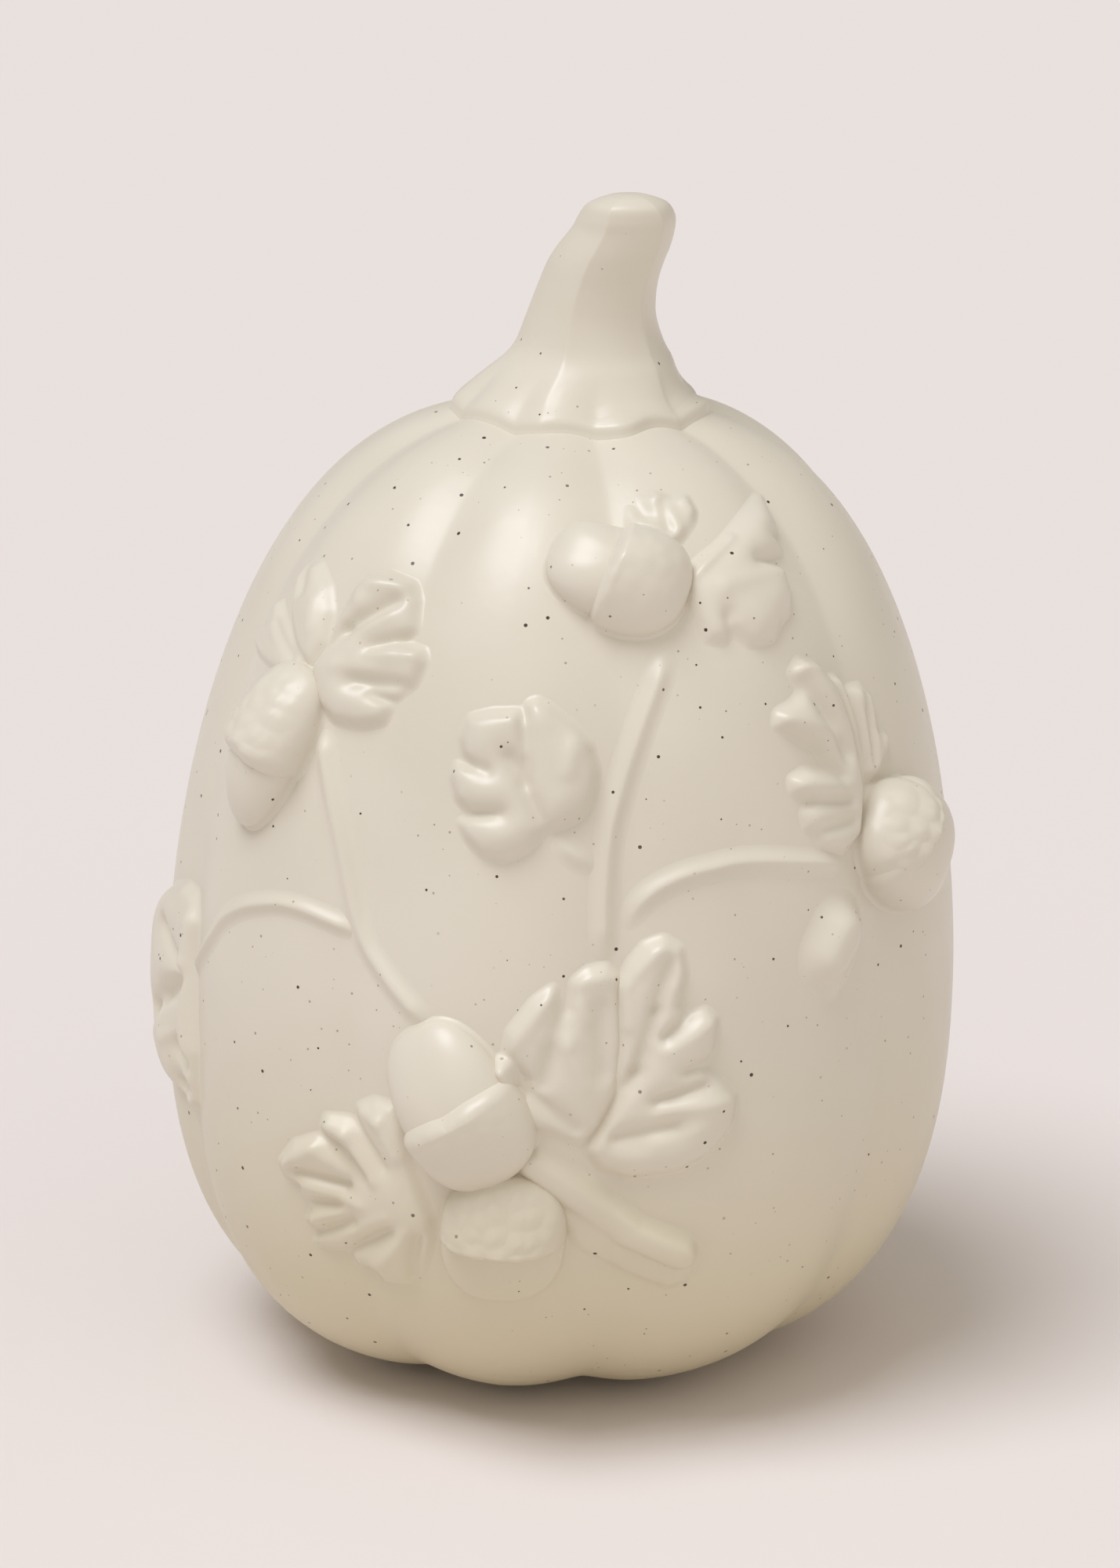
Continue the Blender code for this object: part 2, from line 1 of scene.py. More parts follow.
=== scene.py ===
"""Looks of the ceramic pumpkin figure: dense glazed pieces, a felt ring, a studio floor, light and camera.

Azimuths are in degrees from the front (-Y), growing towards +X.
An arc is a height measured along the outer skin, from the middle of the base up to the crown.
A way is a direction on the skin, measured from straight up, clockwise.
"""
import math

import bmesh
import bpy
import numpy as np
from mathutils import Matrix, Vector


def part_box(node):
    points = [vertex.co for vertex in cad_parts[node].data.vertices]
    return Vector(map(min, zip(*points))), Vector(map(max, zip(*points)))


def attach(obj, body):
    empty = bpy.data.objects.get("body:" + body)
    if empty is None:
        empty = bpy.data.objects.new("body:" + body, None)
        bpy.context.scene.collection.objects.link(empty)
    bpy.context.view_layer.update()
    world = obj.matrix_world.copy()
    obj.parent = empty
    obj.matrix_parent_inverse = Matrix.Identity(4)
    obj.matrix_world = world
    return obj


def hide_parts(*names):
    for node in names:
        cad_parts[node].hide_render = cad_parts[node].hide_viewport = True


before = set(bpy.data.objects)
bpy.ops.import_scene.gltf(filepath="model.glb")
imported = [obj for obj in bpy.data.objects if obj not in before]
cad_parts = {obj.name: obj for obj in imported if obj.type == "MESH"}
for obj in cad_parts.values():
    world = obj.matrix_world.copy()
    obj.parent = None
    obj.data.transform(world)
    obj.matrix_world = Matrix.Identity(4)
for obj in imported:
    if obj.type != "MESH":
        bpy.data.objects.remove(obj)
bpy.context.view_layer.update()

MM = 0.001

# Body, felt ring and the gap between them, as in the CAD model, with softer groove ends and edges.
# Lengths are in metres, azimuths and groove widths in degrees.
BELLY_RADIUS = 0.070
BELLY_HEIGHT = 0.0664
BODY_HEIGHT = 0.1715
LOWER_POWERS = (2.42, 3.38)
UPPER_POWERS = (1.835, 3.01)
GROOVE_AZIMUTHS = np.array((-73, -31, 8, 54, 99, 143, 188, 237))
GROOVE_DEPTH = 0.0032
GROOVE_WIDTH = 9.5
GROOVE_POWER = 1.5
GROOVE_FADE_RADIUS = 0.036
GROOVE_TOP_LOSS = 0.35
GROOVE_TOP_RISE = 0.06
GROOVE_BASE_LOSS = 0.4
GROOVE_BASE_RISE = 0.045
LEAN = 0.029
WALL = 0.005
FOOT_RADIUS = 0.034
FOOT_EDGE = 0.005
VENT_RADIUS = 0.006
VENT_BEVEL = 0.0006
FELT_THICKNESS = 0.0015
FELT_HOLE_MARGIN = 0.003
FELT_BEVEL_SHARE = 0.35
SEAT_GAP = 0.0003
# Smallest radii: of the body's rings at the crown, and for steps across the skin
POLE_RADIUS = 0.0002
LEAST_RADIUS = 0.004

# Mesh fineness: counts, and the step of a leaf's grid in millimetres
OUTLINE_STEPS = 4000
BODY_COLUMNS = 400
BODY_OUTER_ROWS = 170
BODY_INNER_ROWS = 28
LEAF_STEP = 0.36
DOME_COLUMNS = 144
DOME_ROWS = 40
FILLET_ROWS = 8
TWIG_ROWS = 170
TWIG_COLUMNS = 30
STEM_COLUMNS = 240
STEM_ROWS = 130
FELT_COLUMNS = 128
FELT_BEVEL_STEPS = 4

# How sprigs settle into the skin under the glaze, in millimetres
SINK = 0.06
BACK_DEPTH = 0.9

# Stem: (height above the crown, sideways shift, half-width), in millimetres
STEM_STATIONS = (
    (2.3, 0.9, 20.4), (3.7, 1.2, 18.2), (5.9, 1.6, 15.9), (9.4, 2.2, 13.2), (14.4, 2.5, 11.4),
    (19.8, 3.6, 10.5), (23.9, 5.0, 10.2), (26.6, 6.3, 9.9), (30.0, 7.9, 9.0), (32.3, 8.4, 8.35),
    (34.5, 8.5, 6.9), (35.8, 8.6, 4.2), (36.3, 8.6, 1.8),
)
STEM_FOOT = 21.6
STEM_FORWARD = 7.0
STEM_FORWARD_POWER = 3
STEM_BLEND = 5.0
# Rings of the lip round the stem's foot: (how far in from its edge, lift above the skin), in millimetres
STEM_LIP = ((2.0, -0.9), (-0.9, -0.25), (-0.5, 0.1), (-0.2, 0.6), (0.0, 1.1), (0.3, 1.6), (0.8, 2.0))
# Tips of the stem's foot: azimuth, reach in millimetres, width in degrees
FOOT_TIPS = ((20, 2.6, 12), (80, 2.0, 20))
# Azimuths of the stem's ribs, their twist, and how flat the faces between them are, as a share
STEM_RIBS = (-88, -17, 52, 112, 168, 226)
STEM_TWIST = 10
STEM_FLATNESS = 0.35
STEM_FLATNESS_GAIN = 0.15

# Points of the drawings below are pixels of the photograph, read off one by one. Sizes are in millimetres.
# Acorns: rim middle, nut tip, (nut length, half-width, height, squareness),
# (cap length, half-width, height, reach of its front, fullness, tilt of its top, height of its scales)
ACORNS = {
    "upper_left": (
        (328, 946), (286, 1056), (15.0, 7.8, 6.8, 2.2), (14.5, 8.6, 9.0, 4.5, 2.1, 0.3, 0.32)),
    "upper_right": (
        (790, 727), (714, 693), (11.5, 8.0, 7.6, 3.0), (12.5, 9.4, 10.5, 3.0, 1.6, 0.1, 0.15)),
    "right": (
        (1155, 1066), (1203, 1108), (16.0, 10.8, 9.6, 2.5), (9.0, 9.6, 10.6, 2.2, 2.0, 0.2, 0.5)),
    "bottom_upper": (
        (583, 1430), (516, 1318), (16.5, 10.0, 8.2, 2.8), (13.5, 10.6, 10.2, 4.0, 2.2, 0.5, 0.15)),
    "bottom_lower": (
        (638, 1590), (634, 1676), (13.0, 10.4, 2.6, 2.5), (11.5, 10.6, 8.0, 2.0, 2.0, 0.4, 0.5)),
}
ACORN_LIFT = 4.0
# Fullness of a nut's rear and front, and how far under the cap it runs, as a share of the cap's length
NUT_FULLNESS = (2.1, 1.6)
NUT_TUCK = 0.6
CAP_FRONT_FULLNESS = 1.8
CAP_SQUARENESS = 2.5
# Domes of nuts and caps: fillet at the foot, skirt under the glaze, slant of the ring round the top
FILLET = 1.1
DOME_SKIRT = 0.6
DOME_TOP = 0.01
# Scales of a cap: a jittered grid of bumps that fade to the rim
SCALE_PITCH = 3.0
SCALE_GAIN = 1.6
SCALE_LEVEL = 0.5
SCALE_FADE = 6
SCALE_ORIGIN = 40
CELL_JITTER = ((127.1, 311.7, 43758.5453), (269.5, 183.3, 24634.6345))
CELL_MARGIN = 0.2
CELL_SPREAD = 0.6

# Twigs: route, half-width, height, how far the ends fade
TWIGS = {
    "twig_upper_left": (
        ((408, 925), (418, 1000), (435, 1080), (460, 1190), (490, 1245), (548, 1312)), 1.6, 1.2, 5.0),
    "twig_left_arch": (
        ((247, 1242), (265, 1199), (290, 1166), (330, 1153), (380, 1158), (466, 1194)), 1.3, 1.1, 6.0),
    "twig_long": (
        ((856, 820), (828, 900), (807, 960), (792, 1010), (778, 1070), (772, 1150), (772, 1235)),
        1.6, 1.2, 7.0),
    "twig_leaf_stalk": (((700, 1068), (728, 1087), (766, 1114)), 1.5, 0.9, 5.0),
    "twig_right_arch": (
        ((796, 1194), (818, 1152), (855, 1126), (905, 1109), (970, 1099), (1090, 1101)), 1.5, 1.15, 8.0),
}

# Section of a twig: how far its sides reach, in half-widths, and the power of its fall
TWIG_REACH = 2.4
TWIG_POWER = 1.8

# Leaves, bud and branch: outline of a flat plate and its height,
# lobes of (root, tip, half-width at both, height at both)
# and veins of (start, end, half-width, rise), where a furrow has a rise below zero
SPRIGS = {
    "leaf_bottom_right": ((
        (748, 1468), (770, 1438), (788, 1400), (792, 1330), (790, 1262), (806, 1232), (826, 1208),
        (850, 1199), (872, 1212), (878, 1245), (868, 1285), (878, 1300), (905, 1292), (918, 1303),
        (914, 1340), (900, 1368), (925, 1382), (943, 1402), (938, 1436), (910, 1472), (870, 1495),
        (800, 1505), (766, 1492),
    ), 2.4, (), (
        ((748, 1466), (812, 1368), 1.0, -1.3),
        ((812, 1368), (838, 1290), 1.0, -1.2),
        ((838, 1290), (856, 1228), 1.0, -0.9),
        ((888, 1290), (850, 1326), 1.0, -1.2),
        ((914, 1352), (878, 1368), 1.1, -1.0),
        ((905, 1384), (838, 1406), 1.0, -1.1),
        ((862, 1436), (785, 1452), 1.0, -0.7),
        ((850, 1338), (912, 1304), 1.3, 0.6),
        ((845, 1414), (935, 1402), 1.3, 0.7),
        ((835, 1456), (885, 1440), 1.4, 0.4),
        ((800, 1250), (840, 1210), 1.3, 0.8),
        ((797, 1260), (800, 1310), 1.0, 0.6),
        ((762, 1460), (800, 1400), 1.5, 0.4),
        ((830, 1330), (856, 1260), 1.2, 0.5),
    )),
    "leaf_bottom_middle": ((
        (742, 1462), (700, 1446), (660, 1442), (652, 1418), (668, 1404), (676, 1380), (644, 1348),
        (648, 1320), (680, 1280), (706, 1262), (714, 1302), (730, 1292), (732, 1256), (750, 1240),
        (775, 1234), (792, 1250), (794, 1330), (786, 1395), (764, 1440),
    ), 1.8, (
        ((640, 1366), (646, 1384), 1.5, 1.5, 4.6, 3.8),
    ), (
        ((652, 1335), (700, 1275), 1.4, 0.7),
        ((745, 1252), (785, 1246), 1.4, 0.6),
        ((736, 1285), (752, 1300), 1.4, 0.5),
        ((706, 1325), (724, 1330), 1.6, 0.6),
        ((724, 1340), (748, 1385), 1.3, 0.5),
        ((716, 1296), (690, 1385), 1.2, -0.9),
        ((765, 1290), (772, 1370), 1.8, -0.7),
        ((672, 1395), (735, 1442), 1.0, -0.9),
    )),
    "leaf_bottom_left": ((
        (545, 1560), (522, 1500), (510, 1440), (497, 1415), (472, 1407), (450, 1416), (454, 1440),
        (436, 1430), (408, 1428), (404, 1442), (424, 1462), (398, 1454), (368, 1462), (349, 1486),
        (356, 1504), (378, 1514), (374, 1532), (394, 1546), (384, 1562), (404, 1572), (394, 1592),
        (440, 1600), (452, 1620), (478, 1626), (484, 1642), (524, 1646), (536, 1622), (545, 1590),
    ), 1.9, (), (
        ((362, 1482), (396, 1464), 1.5, 0.7),
        ((396, 1464), (440, 1492), 1.3, 0.5),
        ((412, 1437), (440, 1448), 1.2, 0.7),
        ((440, 1448), (474, 1506), 1.2, 0.7),
        ((458, 1416), (482, 1432), 1.1, 0.6),
        ((482, 1432), (505, 1478), 1.1, 0.6),
        ((380, 1508), (460, 1538), 1.2, 0.6),
        ((392, 1557), (432, 1546), 1.1, 0.5),
        ((450, 1570), (492, 1556), 1.4, 0.6),
        ((480, 1617), (518, 1576), 1.3, 0.6),
        ((372, 1496), (442, 1514), 0.9, -1.1),
        ((424, 1462), (462, 1504), 0.9, -1.0),
        ((454, 1438), (488, 1492), 0.8, -0.9),
        ((374, 1532), (430, 1538), 0.9, -0.9),
        ((400, 1574), (450, 1560), 0.9, -0.8),
        ((440, 1600), (495, 1572), 0.9, -0.8),
        ((530, 1582), (524, 1632), 1.1, -1.2),
    )),
    "leaf_centre": ((
        (694, 1058), (672, 1082), (640, 1096), (612, 1090), (592, 1068), (584, 1050), (600, 1042),
        (628, 1038), (598, 1034), (580, 1018), (574, 990), (578, 975), (604, 978), (590, 962),
        (586, 940), (596, 915), (625, 908), (660, 907), (668, 918), (674, 896), (684, 892), (700, 900),
        (730, 925), (752, 948), (762, 985), (756, 1022), (738, 1042), (716, 1052),
    ), 2.7, (), (
        ((692, 1050), (650, 965), 1.0, -0.8),
        ((671, 1000), (667, 912), 0.9, -0.8),
        ((584, 968), (622, 984), 0.8, -0.7),
        ((592, 1038), (640, 1038), 0.8, -0.7),
        ((712, 990), (704, 945), 3.4, -0.7),
        ((650, 975), (634, 952), 2.6, -0.45),
        ((656, 914), (668, 960), 0.9, 0.5),
        ((610, 921), (652, 917), 1.5, 0.4),
        ((736, 945), (724, 985), 1.5, 0.6),
    )),
    "leaf_upper_right": ((
        (878, 738), (892, 714), (915, 690), (935, 660), (955, 635), (968, 618), (980, 625), (988, 652),
        (998, 666), (990, 680), (1006, 695), (975, 712), (1005, 722), (1016, 755), (1014, 775),
        (1002, 790), (994, 810), (965, 818), (940, 800), (930, 815), (908, 812), (895, 790), (884, 765),
    ), 2.2, (), (
        ((886, 731), (934, 683), 0.8, 1.0),
        ((912, 668), (955, 612), 5.0, -1.9),
        ((1010, 706), (970, 711), 1.0, -0.9),
        ((936, 806), (930, 784), 0.9, -0.7),
        ((925, 745), (1000, 724), 1.5, 0.4),
        ((925, 755), (970, 795), 1.6, 0.3),
    )),
    "leaf_upper_right_curled": ((
        (800, 672), (803, 640), (815, 625), (840, 618), (860, 628), (880, 624), (892, 645), (888, 662),
        (872, 682), (858, 690), (845, 683), (820, 674),
    ), 1.0, (), (
        ((820, 664), (858, 684), 1.2, 0.8),
        ((840, 632), (868, 672), 1.1, 0.8),
        ((874, 630), (885, 648), 1.1, 0.7),
        ((812, 630), (826, 652), 1.3, -0.8),
        ((846, 636), (858, 672), 0.8, -0.8),
    )),
    "leaf_right": ((
        (1106, 1000), (1092, 930), (1072, 872), (1050, 846), (1028, 840), (1018, 856), (1032, 880),
        (1020, 896), (1000, 908), (998, 924), (1022, 936), (1048, 952), (1066, 984), (1036, 982),
        (1018, 994), (1020, 1010), (1044, 1020), (1034, 1036), (1038, 1056), (1050, 1062), (1058, 1080),
        (1084, 1086), (1104, 1064),
    ), 2.3, (), (
        ((1030, 868), (1082, 962), 1.5, -1.0),
        ((1026, 848), (1044, 846), 1.4, 0.6),
        ((1006, 916), (1070, 938), 1.5, 0.6),
        ((1044, 952), (1076, 990), 1.2, -1.0),
        ((1022, 1000), (1074, 1002), 1.4, 0.5),
        ((1040, 1022), (1088, 1020), 1.0, -0.8),
        ((1046, 1060), (1092, 1046), 1.0, -0.7),
    )),
    "leaf_right_narrow": ((
        (1116, 992), (1092, 932), (1069, 862), (1078, 862), (1092, 892), (1092, 876), (1108, 871),
        (1120, 884), (1127, 930), (1140, 932), (1144, 946), (1133, 966), (1128, 986),
    ), 1.5, (), (
        ((1074, 864), (1110, 985), 0.9, 0.8),
        ((1100, 880), (1117, 980), 1.0, 0.8),
        ((1117, 888), (1125, 975), 0.9, 0.6),
        ((1140, 938), (1128, 980), 1.0, 0.5),
        ((1092, 892), (1112, 975), 0.7, -0.8),
        ((1110, 900), (1121, 975), 0.7, -0.7),
    )),
    "leaf_upper_left": ((
        (392, 846), (412, 822), (430, 780), (448, 750), (466, 732), (490, 727), (520, 740), (528, 762),
        (525, 800), (508, 818), (534, 828), (537, 842), (524, 870), (500, 888), (470, 884), (492, 900),
        (484, 918), (455, 924), (422, 918), (403, 898), (395, 868),
    ), 2.4, (), (
        ((396, 838), (440, 802), 1.1, -1.0),
        ((440, 802), (505, 766), 1.1, -1.0),
        ((528, 806), (478, 824), 1.0, -0.9),
        ((515, 874), (450, 868), 1.1, -0.9),
        ((470, 742), (518, 748), 1.3, 0.8),
        ((455, 748), (462, 776), 1.2, 0.5),
        ((470, 800), (500, 782), 1.2, 0.4),
        ((478, 833), (530, 834), 1.2, 0.8),
        ((430, 850), (475, 856), 1.2, 0.4),
    )),
    "leaf_upper_left_second": ((
        (388, 848), (372, 822), (364, 772), (370, 735), (384, 712), (400, 714), (412, 745), (415, 775),
        (407, 815),
    ), 1.7, (
        ((368, 845), (340, 780), 2.0, 2.6, 1.2, 1.4),
        ((360, 848), (324, 806), 1.6, 2.4, 1.2, 1.4),
    ), (
        ((398, 765), (394, 800), 1.1, 0.4),
        ((384, 725), (380, 750), 1.4, -0.6),
        ((366, 835), (346, 790), 1.0, -0.8),
    )),
    "bud": ((), 0, (
        ((1080, 1192), (1068, 1220), 4.7, 4.5, 4.0, 3.6),
        ((1066, 1240), (1067, 1254), 2.4, 2.4, 1.2, 1.3),
    ), ()),
    "branch": ((
        (666, 1484), (684, 1476), (722, 1494), (760, 1512), (796, 1552), (822, 1572), (862, 1578),
        (896, 1602), (884, 1640), (855, 1650), (800, 1630), (740, 1600), (700, 1540),
    ), 1.3, (
        ((680, 1490), (800, 1572), 2.4, 2.9, 2.6, 3.0),
        ((800, 1575), (868, 1602), 2.9, 2.9, 3.0, 3.6),
    ), ()),
}
# Relief of the sprigs: lengths in millimetres, the rest as shares and a count
LEAF_LIFT = 2.0
LEAF_EDGE = 1.0
LEAF_BLUR = 0.45
BLUR_SPAN = 3
BUD_EDGE = 3.3
PILLOW = 0.75
PILLOW_REACH = 5.5
PILLOW_BLUR = 0.9
PILLOW_LEVEL = 0.5
FURROW_WIDTH = 2.0
LOBE_EDGE = 0.8
LOBE_CROWN = 0.2
SPRIG_MARGIN = 2
LEAST_LIFT = 0.01

# The left leaf turns out of sight, so its points are (azimuth, arc in millimetres) on the skin
LEFT_LEAF = ((
    (-77, 136.3), (-73, 136), (-69.5, 132), (-69, 125), (-67.5, 118), (-65.5, 110), (-66, 100), (-69, 97.5),
    (-75, 98), (-82, 99), (-92, 105), (-97, 114), (-97, 124), (-90, 130), (-83, 134),
), 2.3, (
    ((-84, 122), (-84, 114), 4.0, 4.0, 2.9, 2.9),
    ((-80, 131), (-74, 131), 3.0, 3.0, 2.9, 2.7),
), (
    ((-71.5, 132), (-71, 124), 1.3, 0.8),
    ((-71, 124), (-68, 108), 1.3, 0.7),
    ((-82, 127), (-72, 121), 1.4, -1.0),
    ((-72, 121), (-88, 109.5), 1.7, -1.5),
    ((-80, 107), (-71, 112), 1.3, 0.5),
    ((-68, 107), (-73, 108), 1.3, -0.9),
    ((-74, 101), (-68, 102), 1.3, -0.8),
))

# What the back repeats, half a turn round from the front
BACK_ACORNS = ("upper_right", "bottom_upper", "bottom_lower")
BACK_TWIGS = ("twig_upper_left", "twig_long", "twig_right_arch")
BACK_SPRIGS = ("leaf_bottom_right", "leaf_bottom_left", "leaf_centre", "leaf_upper_right", "leaf_right",
               "leaf_upper_left", "bud", "branch")
BACK_TURN = 180

# Camera, fitted to the photograph's outline, in metres and degrees, with its lens in millimetres
CAMERA_ELEVATION = 17.0
CAMERA_DISTANCE = 0.98
CAMERA_TARGET_HEIGHT = 0.084
CAMERA_LENS = 84.9
CAMERA_SENSOR = 24.0
CAMERA_SHIFT = 0.0629
CAMERA_CLIP = (0.05, 50)
PHOTO_WIDTH = 1429
PHOTO_HEIGHT = 2000

# Search for the skin that shows at a pixel: azimuths and arcs tried first, then steps from the nearest
SEARCH_AZIMUTHS = np.arange(-80, 82, 2.0)
SEARCH_ARCS = np.arange(0.06, 0.24, 0.002)
SEARCH_ROUNDS = 8
MOST_STEPS = 20
AZIMUTH_STEP = 0.1
ARC_STEP = 0.0001

# Light: a soft, cool sun from the upper left and a plain warm sky, brighter to the front and right
SUN_POWER = 1.84
SUN_COLOUR = (0.926, 0.95, 1.0)
SUN_ANGLE = 34
SUN_ELEVATION = 66
SUN_TURN = -53
SKY_COLOUR = (1.0, 0.948, 0.85)
SKY_BACK = 0.39
SKY_FRONT = 0.70
SKY_WAY = (0.55, -0.835, 0.0)
SKY_RANGE = (-0.3, 0.9)

# Floor
FLOOR_COLOUR = (0.829, 0.773, 0.764)
FLOOR_ROUGHNESS = 0.9
FLOOR_HALF_WIDTH = 6

# Glaze: two creams in soft clouds, and a painted shade that turns it darker and warmer below a height. A
# noise is (cells per metre, detail).
CREAMS = ((0.725, 0.672, 0.578), (0.765, 0.712, 0.618))
CREAM_NOISE = (22, 2)
CREAM_RANGE = (0.35, 0.65)
# Painted shade: a darker, warmer cream that the glaze turns to towards the base, and the height where it
# starts
PAINTED_SHADE_CREAM = (0.66, 0.58, 0.40)
PAINTED_SHADE_HEIGHT = 0.08
GLAZE_ROUGHNESS = (0.31, 0.38)
GLAZE_ROUGHNESS_NOISE = (90, 3)
GLAZE_ROUGHNESS_RANGE = (0.3, 0.7)
GLAZE_BUMP = 0.12
GLAZE_BUMP_NOISE = (260, 2)
# Specks: cells per metre, largest size as a share of a cell, colour, then noise and ramp of their patches
SPECKS = (
    (420, 0.11, (0.30, 0.22, 0.13), (60, 1), (0.44, 0.58, 0.0, 0.7)),
    (266, 0.108, (0.05, 0.032, 0.018), (35, 1), (0.38, 0.52, 0.0, 1.0)),
)
SMALLEST_SPECK = 0.35
SPECK_CORE = 0.7

# Felt, then the depth of bumps on both looks, in metres
FELT_COLOURS = ((0.22, 0.20, 0.18), (0.40, 0.37, 0.33))
FELT_ROUGHNESS = 0.95
FELT_SHEEN = 0.3
FELT_BUMP = 0.6
FIBRE_NOISE = (900, 4)
BUMP_DISTANCE = 0.0004

# A mix node's sockets for colours
MIX_COLOURS = (6, 7)
MIX_RESULT = 2


# Skin of the body
def outline_table():
    """Arc of the foot, then arcs, radii, heights and outward normals of the outline, base pole to crown."""
    low = np.linspace(0, math.pi / 2, OUTLINE_STEPS)
    high = np.linspace(math.pi / 2, math.pi, OUTLINE_STEPS)[1:]
    sine_low, cosine_low = np.clip(np.sin(low), 0, 1), np.clip(np.cos(low), 0, 1)
    sine_high, cosine_high = np.clip(np.sin(high), 0, 1), np.clip(-np.cos(high), 0, 1)
    radius = BELLY_RADIUS * np.r_[sine_low ** (2 / LOWER_POWERS[1]), sine_high ** (2 / UPPER_POWERS[1])]
    height = np.r_[BELLY_HEIGHT * (1 - cosine_low ** (2 / LOWER_POWERS[0])),
                   BELLY_HEIGHT + (BODY_HEIGHT - BELLY_HEIGHT) * cosine_high ** (2 / UPPER_POWERS[0])]
    arc = np.r_[0, np.cumsum(np.hypot(np.diff(radius), np.diff(height)))]
    slope_r, slope_z = np.gradient(radius, arc), np.gradient(height, arc)
    length = np.hypot(slope_r, slope_z)
    foot_arc = float(np.interp(FOOT_RADIUS, radius[:OUTLINE_STEPS], arc[:OUTLINE_STEPS]))
    return foot_arc, arc, (radius, height, slope_z / length, -slope_r / length)


FOOT_ARC, TABLE_ARC, TABLE_COLUMNS = outline_table()
ARC_TOTAL = float(TABLE_ARC[-1])


def profile(arc):
    """Radius, height and outward normal of the smooth outline at an arc."""
    return [np.interp(arc, TABLE_ARC, column) for column in TABLE_COLUMNS]


FOOT_Z = float(profile(FOOT_ARC)[1])
BODY_LIFT = FELT_THICKNESS + SEAT_GAP - FOOT_Z
felt_low, felt_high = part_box("felt_ring")
FELT_X = (felt_low[0] + felt_high[0]) / 2
AXIS_X = FELT_X + LEAN * BELLY_HEIGHT
AXIS_Y = (felt_low[1] + felt_high[1]) / 2


def smooth_step(value):
    value = np.clip(value, 0, 1)
    return value * value * (3 - 2 * value)


def groove(azimuth, height):
    """Depth of the grooves at an azimuth and a height: shallower towards the top and the base."""
    nearest = np.abs((np.asarray(azimuth)[..., None] - GROOVE_AZIMUTHS + 180) % 360 - 180).min(-1)
    depth = GROOVE_DEPTH * (1 - GROOVE_TOP_LOSS * smooth_step((height - BELLY_HEIGHT) / GROOVE_TOP_RISE))
    depth = depth * (1 - GROOVE_BASE_LOSS * smooth_step(1 - height / GROOVE_BASE_RISE))
    return depth * np.exp(-((nearest / GROOVE_WIDTH) ** GROOVE_POWER))


def place(azimuth, radius, height):
    """World points at a radius and a height of the body, which leans sideways."""
    turn = np.radians(azimuth)
    across = AXIS_X + radius * np.sin(turn) + LEAN * (height - BELLY_HEIGHT)
    return np.stack(np.broadcast_arrays(across, AXIS_Y - radius * np.cos(turn), height + BODY_LIFT), -1)


def skin(azimuth, arc, lift):
    """World points at a lift above the grooved skin."""
    radius, height, normal_r, normal_z = profile(arc)
    lift = lift - groove(azimuth, height) * np.minimum(radius / GROOVE_FADE_RADIUS, 1)
    return place(azimuth, radius + normal_r * lift, height + normal_z * lift)


def offset(azimuth, arc, across, up):
    """Azimuth and arc of points that lie across and up on the skin from another, in metres."""
    arc = arc + up
    radius = np.maximum(profile(arc)[0], LEAST_RADIUS)
    return azimuth + np.degrees(across / radius), arc


def apart(azimuth, arc, other_azimuth, other_arc):
    """Across and up offsets on the skin from another point, in millimetres."""
    radius = profile(arc)[0]
    return np.radians(azimuth - other_azimuth) * radius / MM, (arc - other_arc) / MM


# Where pixels of the photograph fall on the skin
TILT = math.radians(CAMERA_ELEVATION)
CAMERA_AHEAD = np.array((0, math.cos(TILT), -math.sin(TILT)))
CAMERA_UP = np.array((0, math.sin(TILT), math.cos(TILT)))
CAMERA_SPOT = np.array((AXIS_X, AXIS_Y, CAMERA_TARGET_HEIGHT + BODY_LIFT)) - CAMERA_DISTANCE * CAMERA_AHEAD


def photo_pixels(points):
    """Pixels of the photograph where world points show."""
    sight = points - CAMERA_SPOT
    scale = CAMERA_LENS / CAMERA_SENSOR * PHOTO_HEIGHT / (sight @ CAMERA_AHEAD)
    return np.stack([PHOTO_WIDTH / 2 + scale * sight[..., 0],
                     PHOTO_HEIGHT * (0.5 + CAMERA_SHIFT) - scale * (sight @ CAMERA_UP)], -1)


def cross(first, second):
    return first[:, 0] * second[:, 1] - first[:, 1] * second[:, 0]


def from_photo(pixels, lift):
    """Azimuths and arcs of what shows at these pixels, at a lift above the skin in millimetres."""
    pixels = np.array(pixels, float).reshape(-1, 2)
    azimuth, arc = np.meshgrid(SEARCH_AZIMUTHS, SEARCH_ARCS)
    seen = photo_pixels(skin(azimuth, arc, lift * MM)).reshape(-1, 1, 2)
    nearest = np.linalg.norm(seen - pixels, axis=-1).argmin(0)
    azimuth, arc = azimuth.ravel()[nearest], arc.ravel()[nearest]
    for _ in range(SEARCH_ROUNDS):
        here = photo_pixels(skin(azimuth, arc, lift * MM))
        east = photo_pixels(skin(azimuth + AZIMUTH_STEP, arc, lift * MM)) - here
        north = photo_pixels(skin(azimuth, arc + ARC_STEP, lift * MM)) - here
        miss = pixels - here
        size = cross(east, north)
        azimuth = azimuth + np.clip(cross(miss, north) / size, -MOST_STEPS, MOST_STEPS) * AZIMUTH_STEP
        arc = arc + np.clip(cross(east, miss) / size, -MOST_STEPS, MOST_STEPS) * ARC_STEP
    return azimuth, arc


# Pieces
def add_piece(node, points, faces, look):
    """A smooth mesh that stands for a CAD node."""
    mesh = bpy.data.meshes.new(node + "_visual")
    mesh.from_pydata(points.reshape(-1, 3).tolist(), [], faces)
    shape = bmesh.new()
    shape.from_mesh(mesh)
    bmesh.ops.recalc_face_normals(shape, faces=shape.faces)
    shape.to_mesh(mesh)
    shape.free()
    mesh.shade_smooth()
    mesh.materials.append(look)
    piece = bpy.data.objects.new(node + "_visual", mesh)
    bpy.context.scene.collection.objects.link(piece)
    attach(piece, "root")
    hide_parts(node)


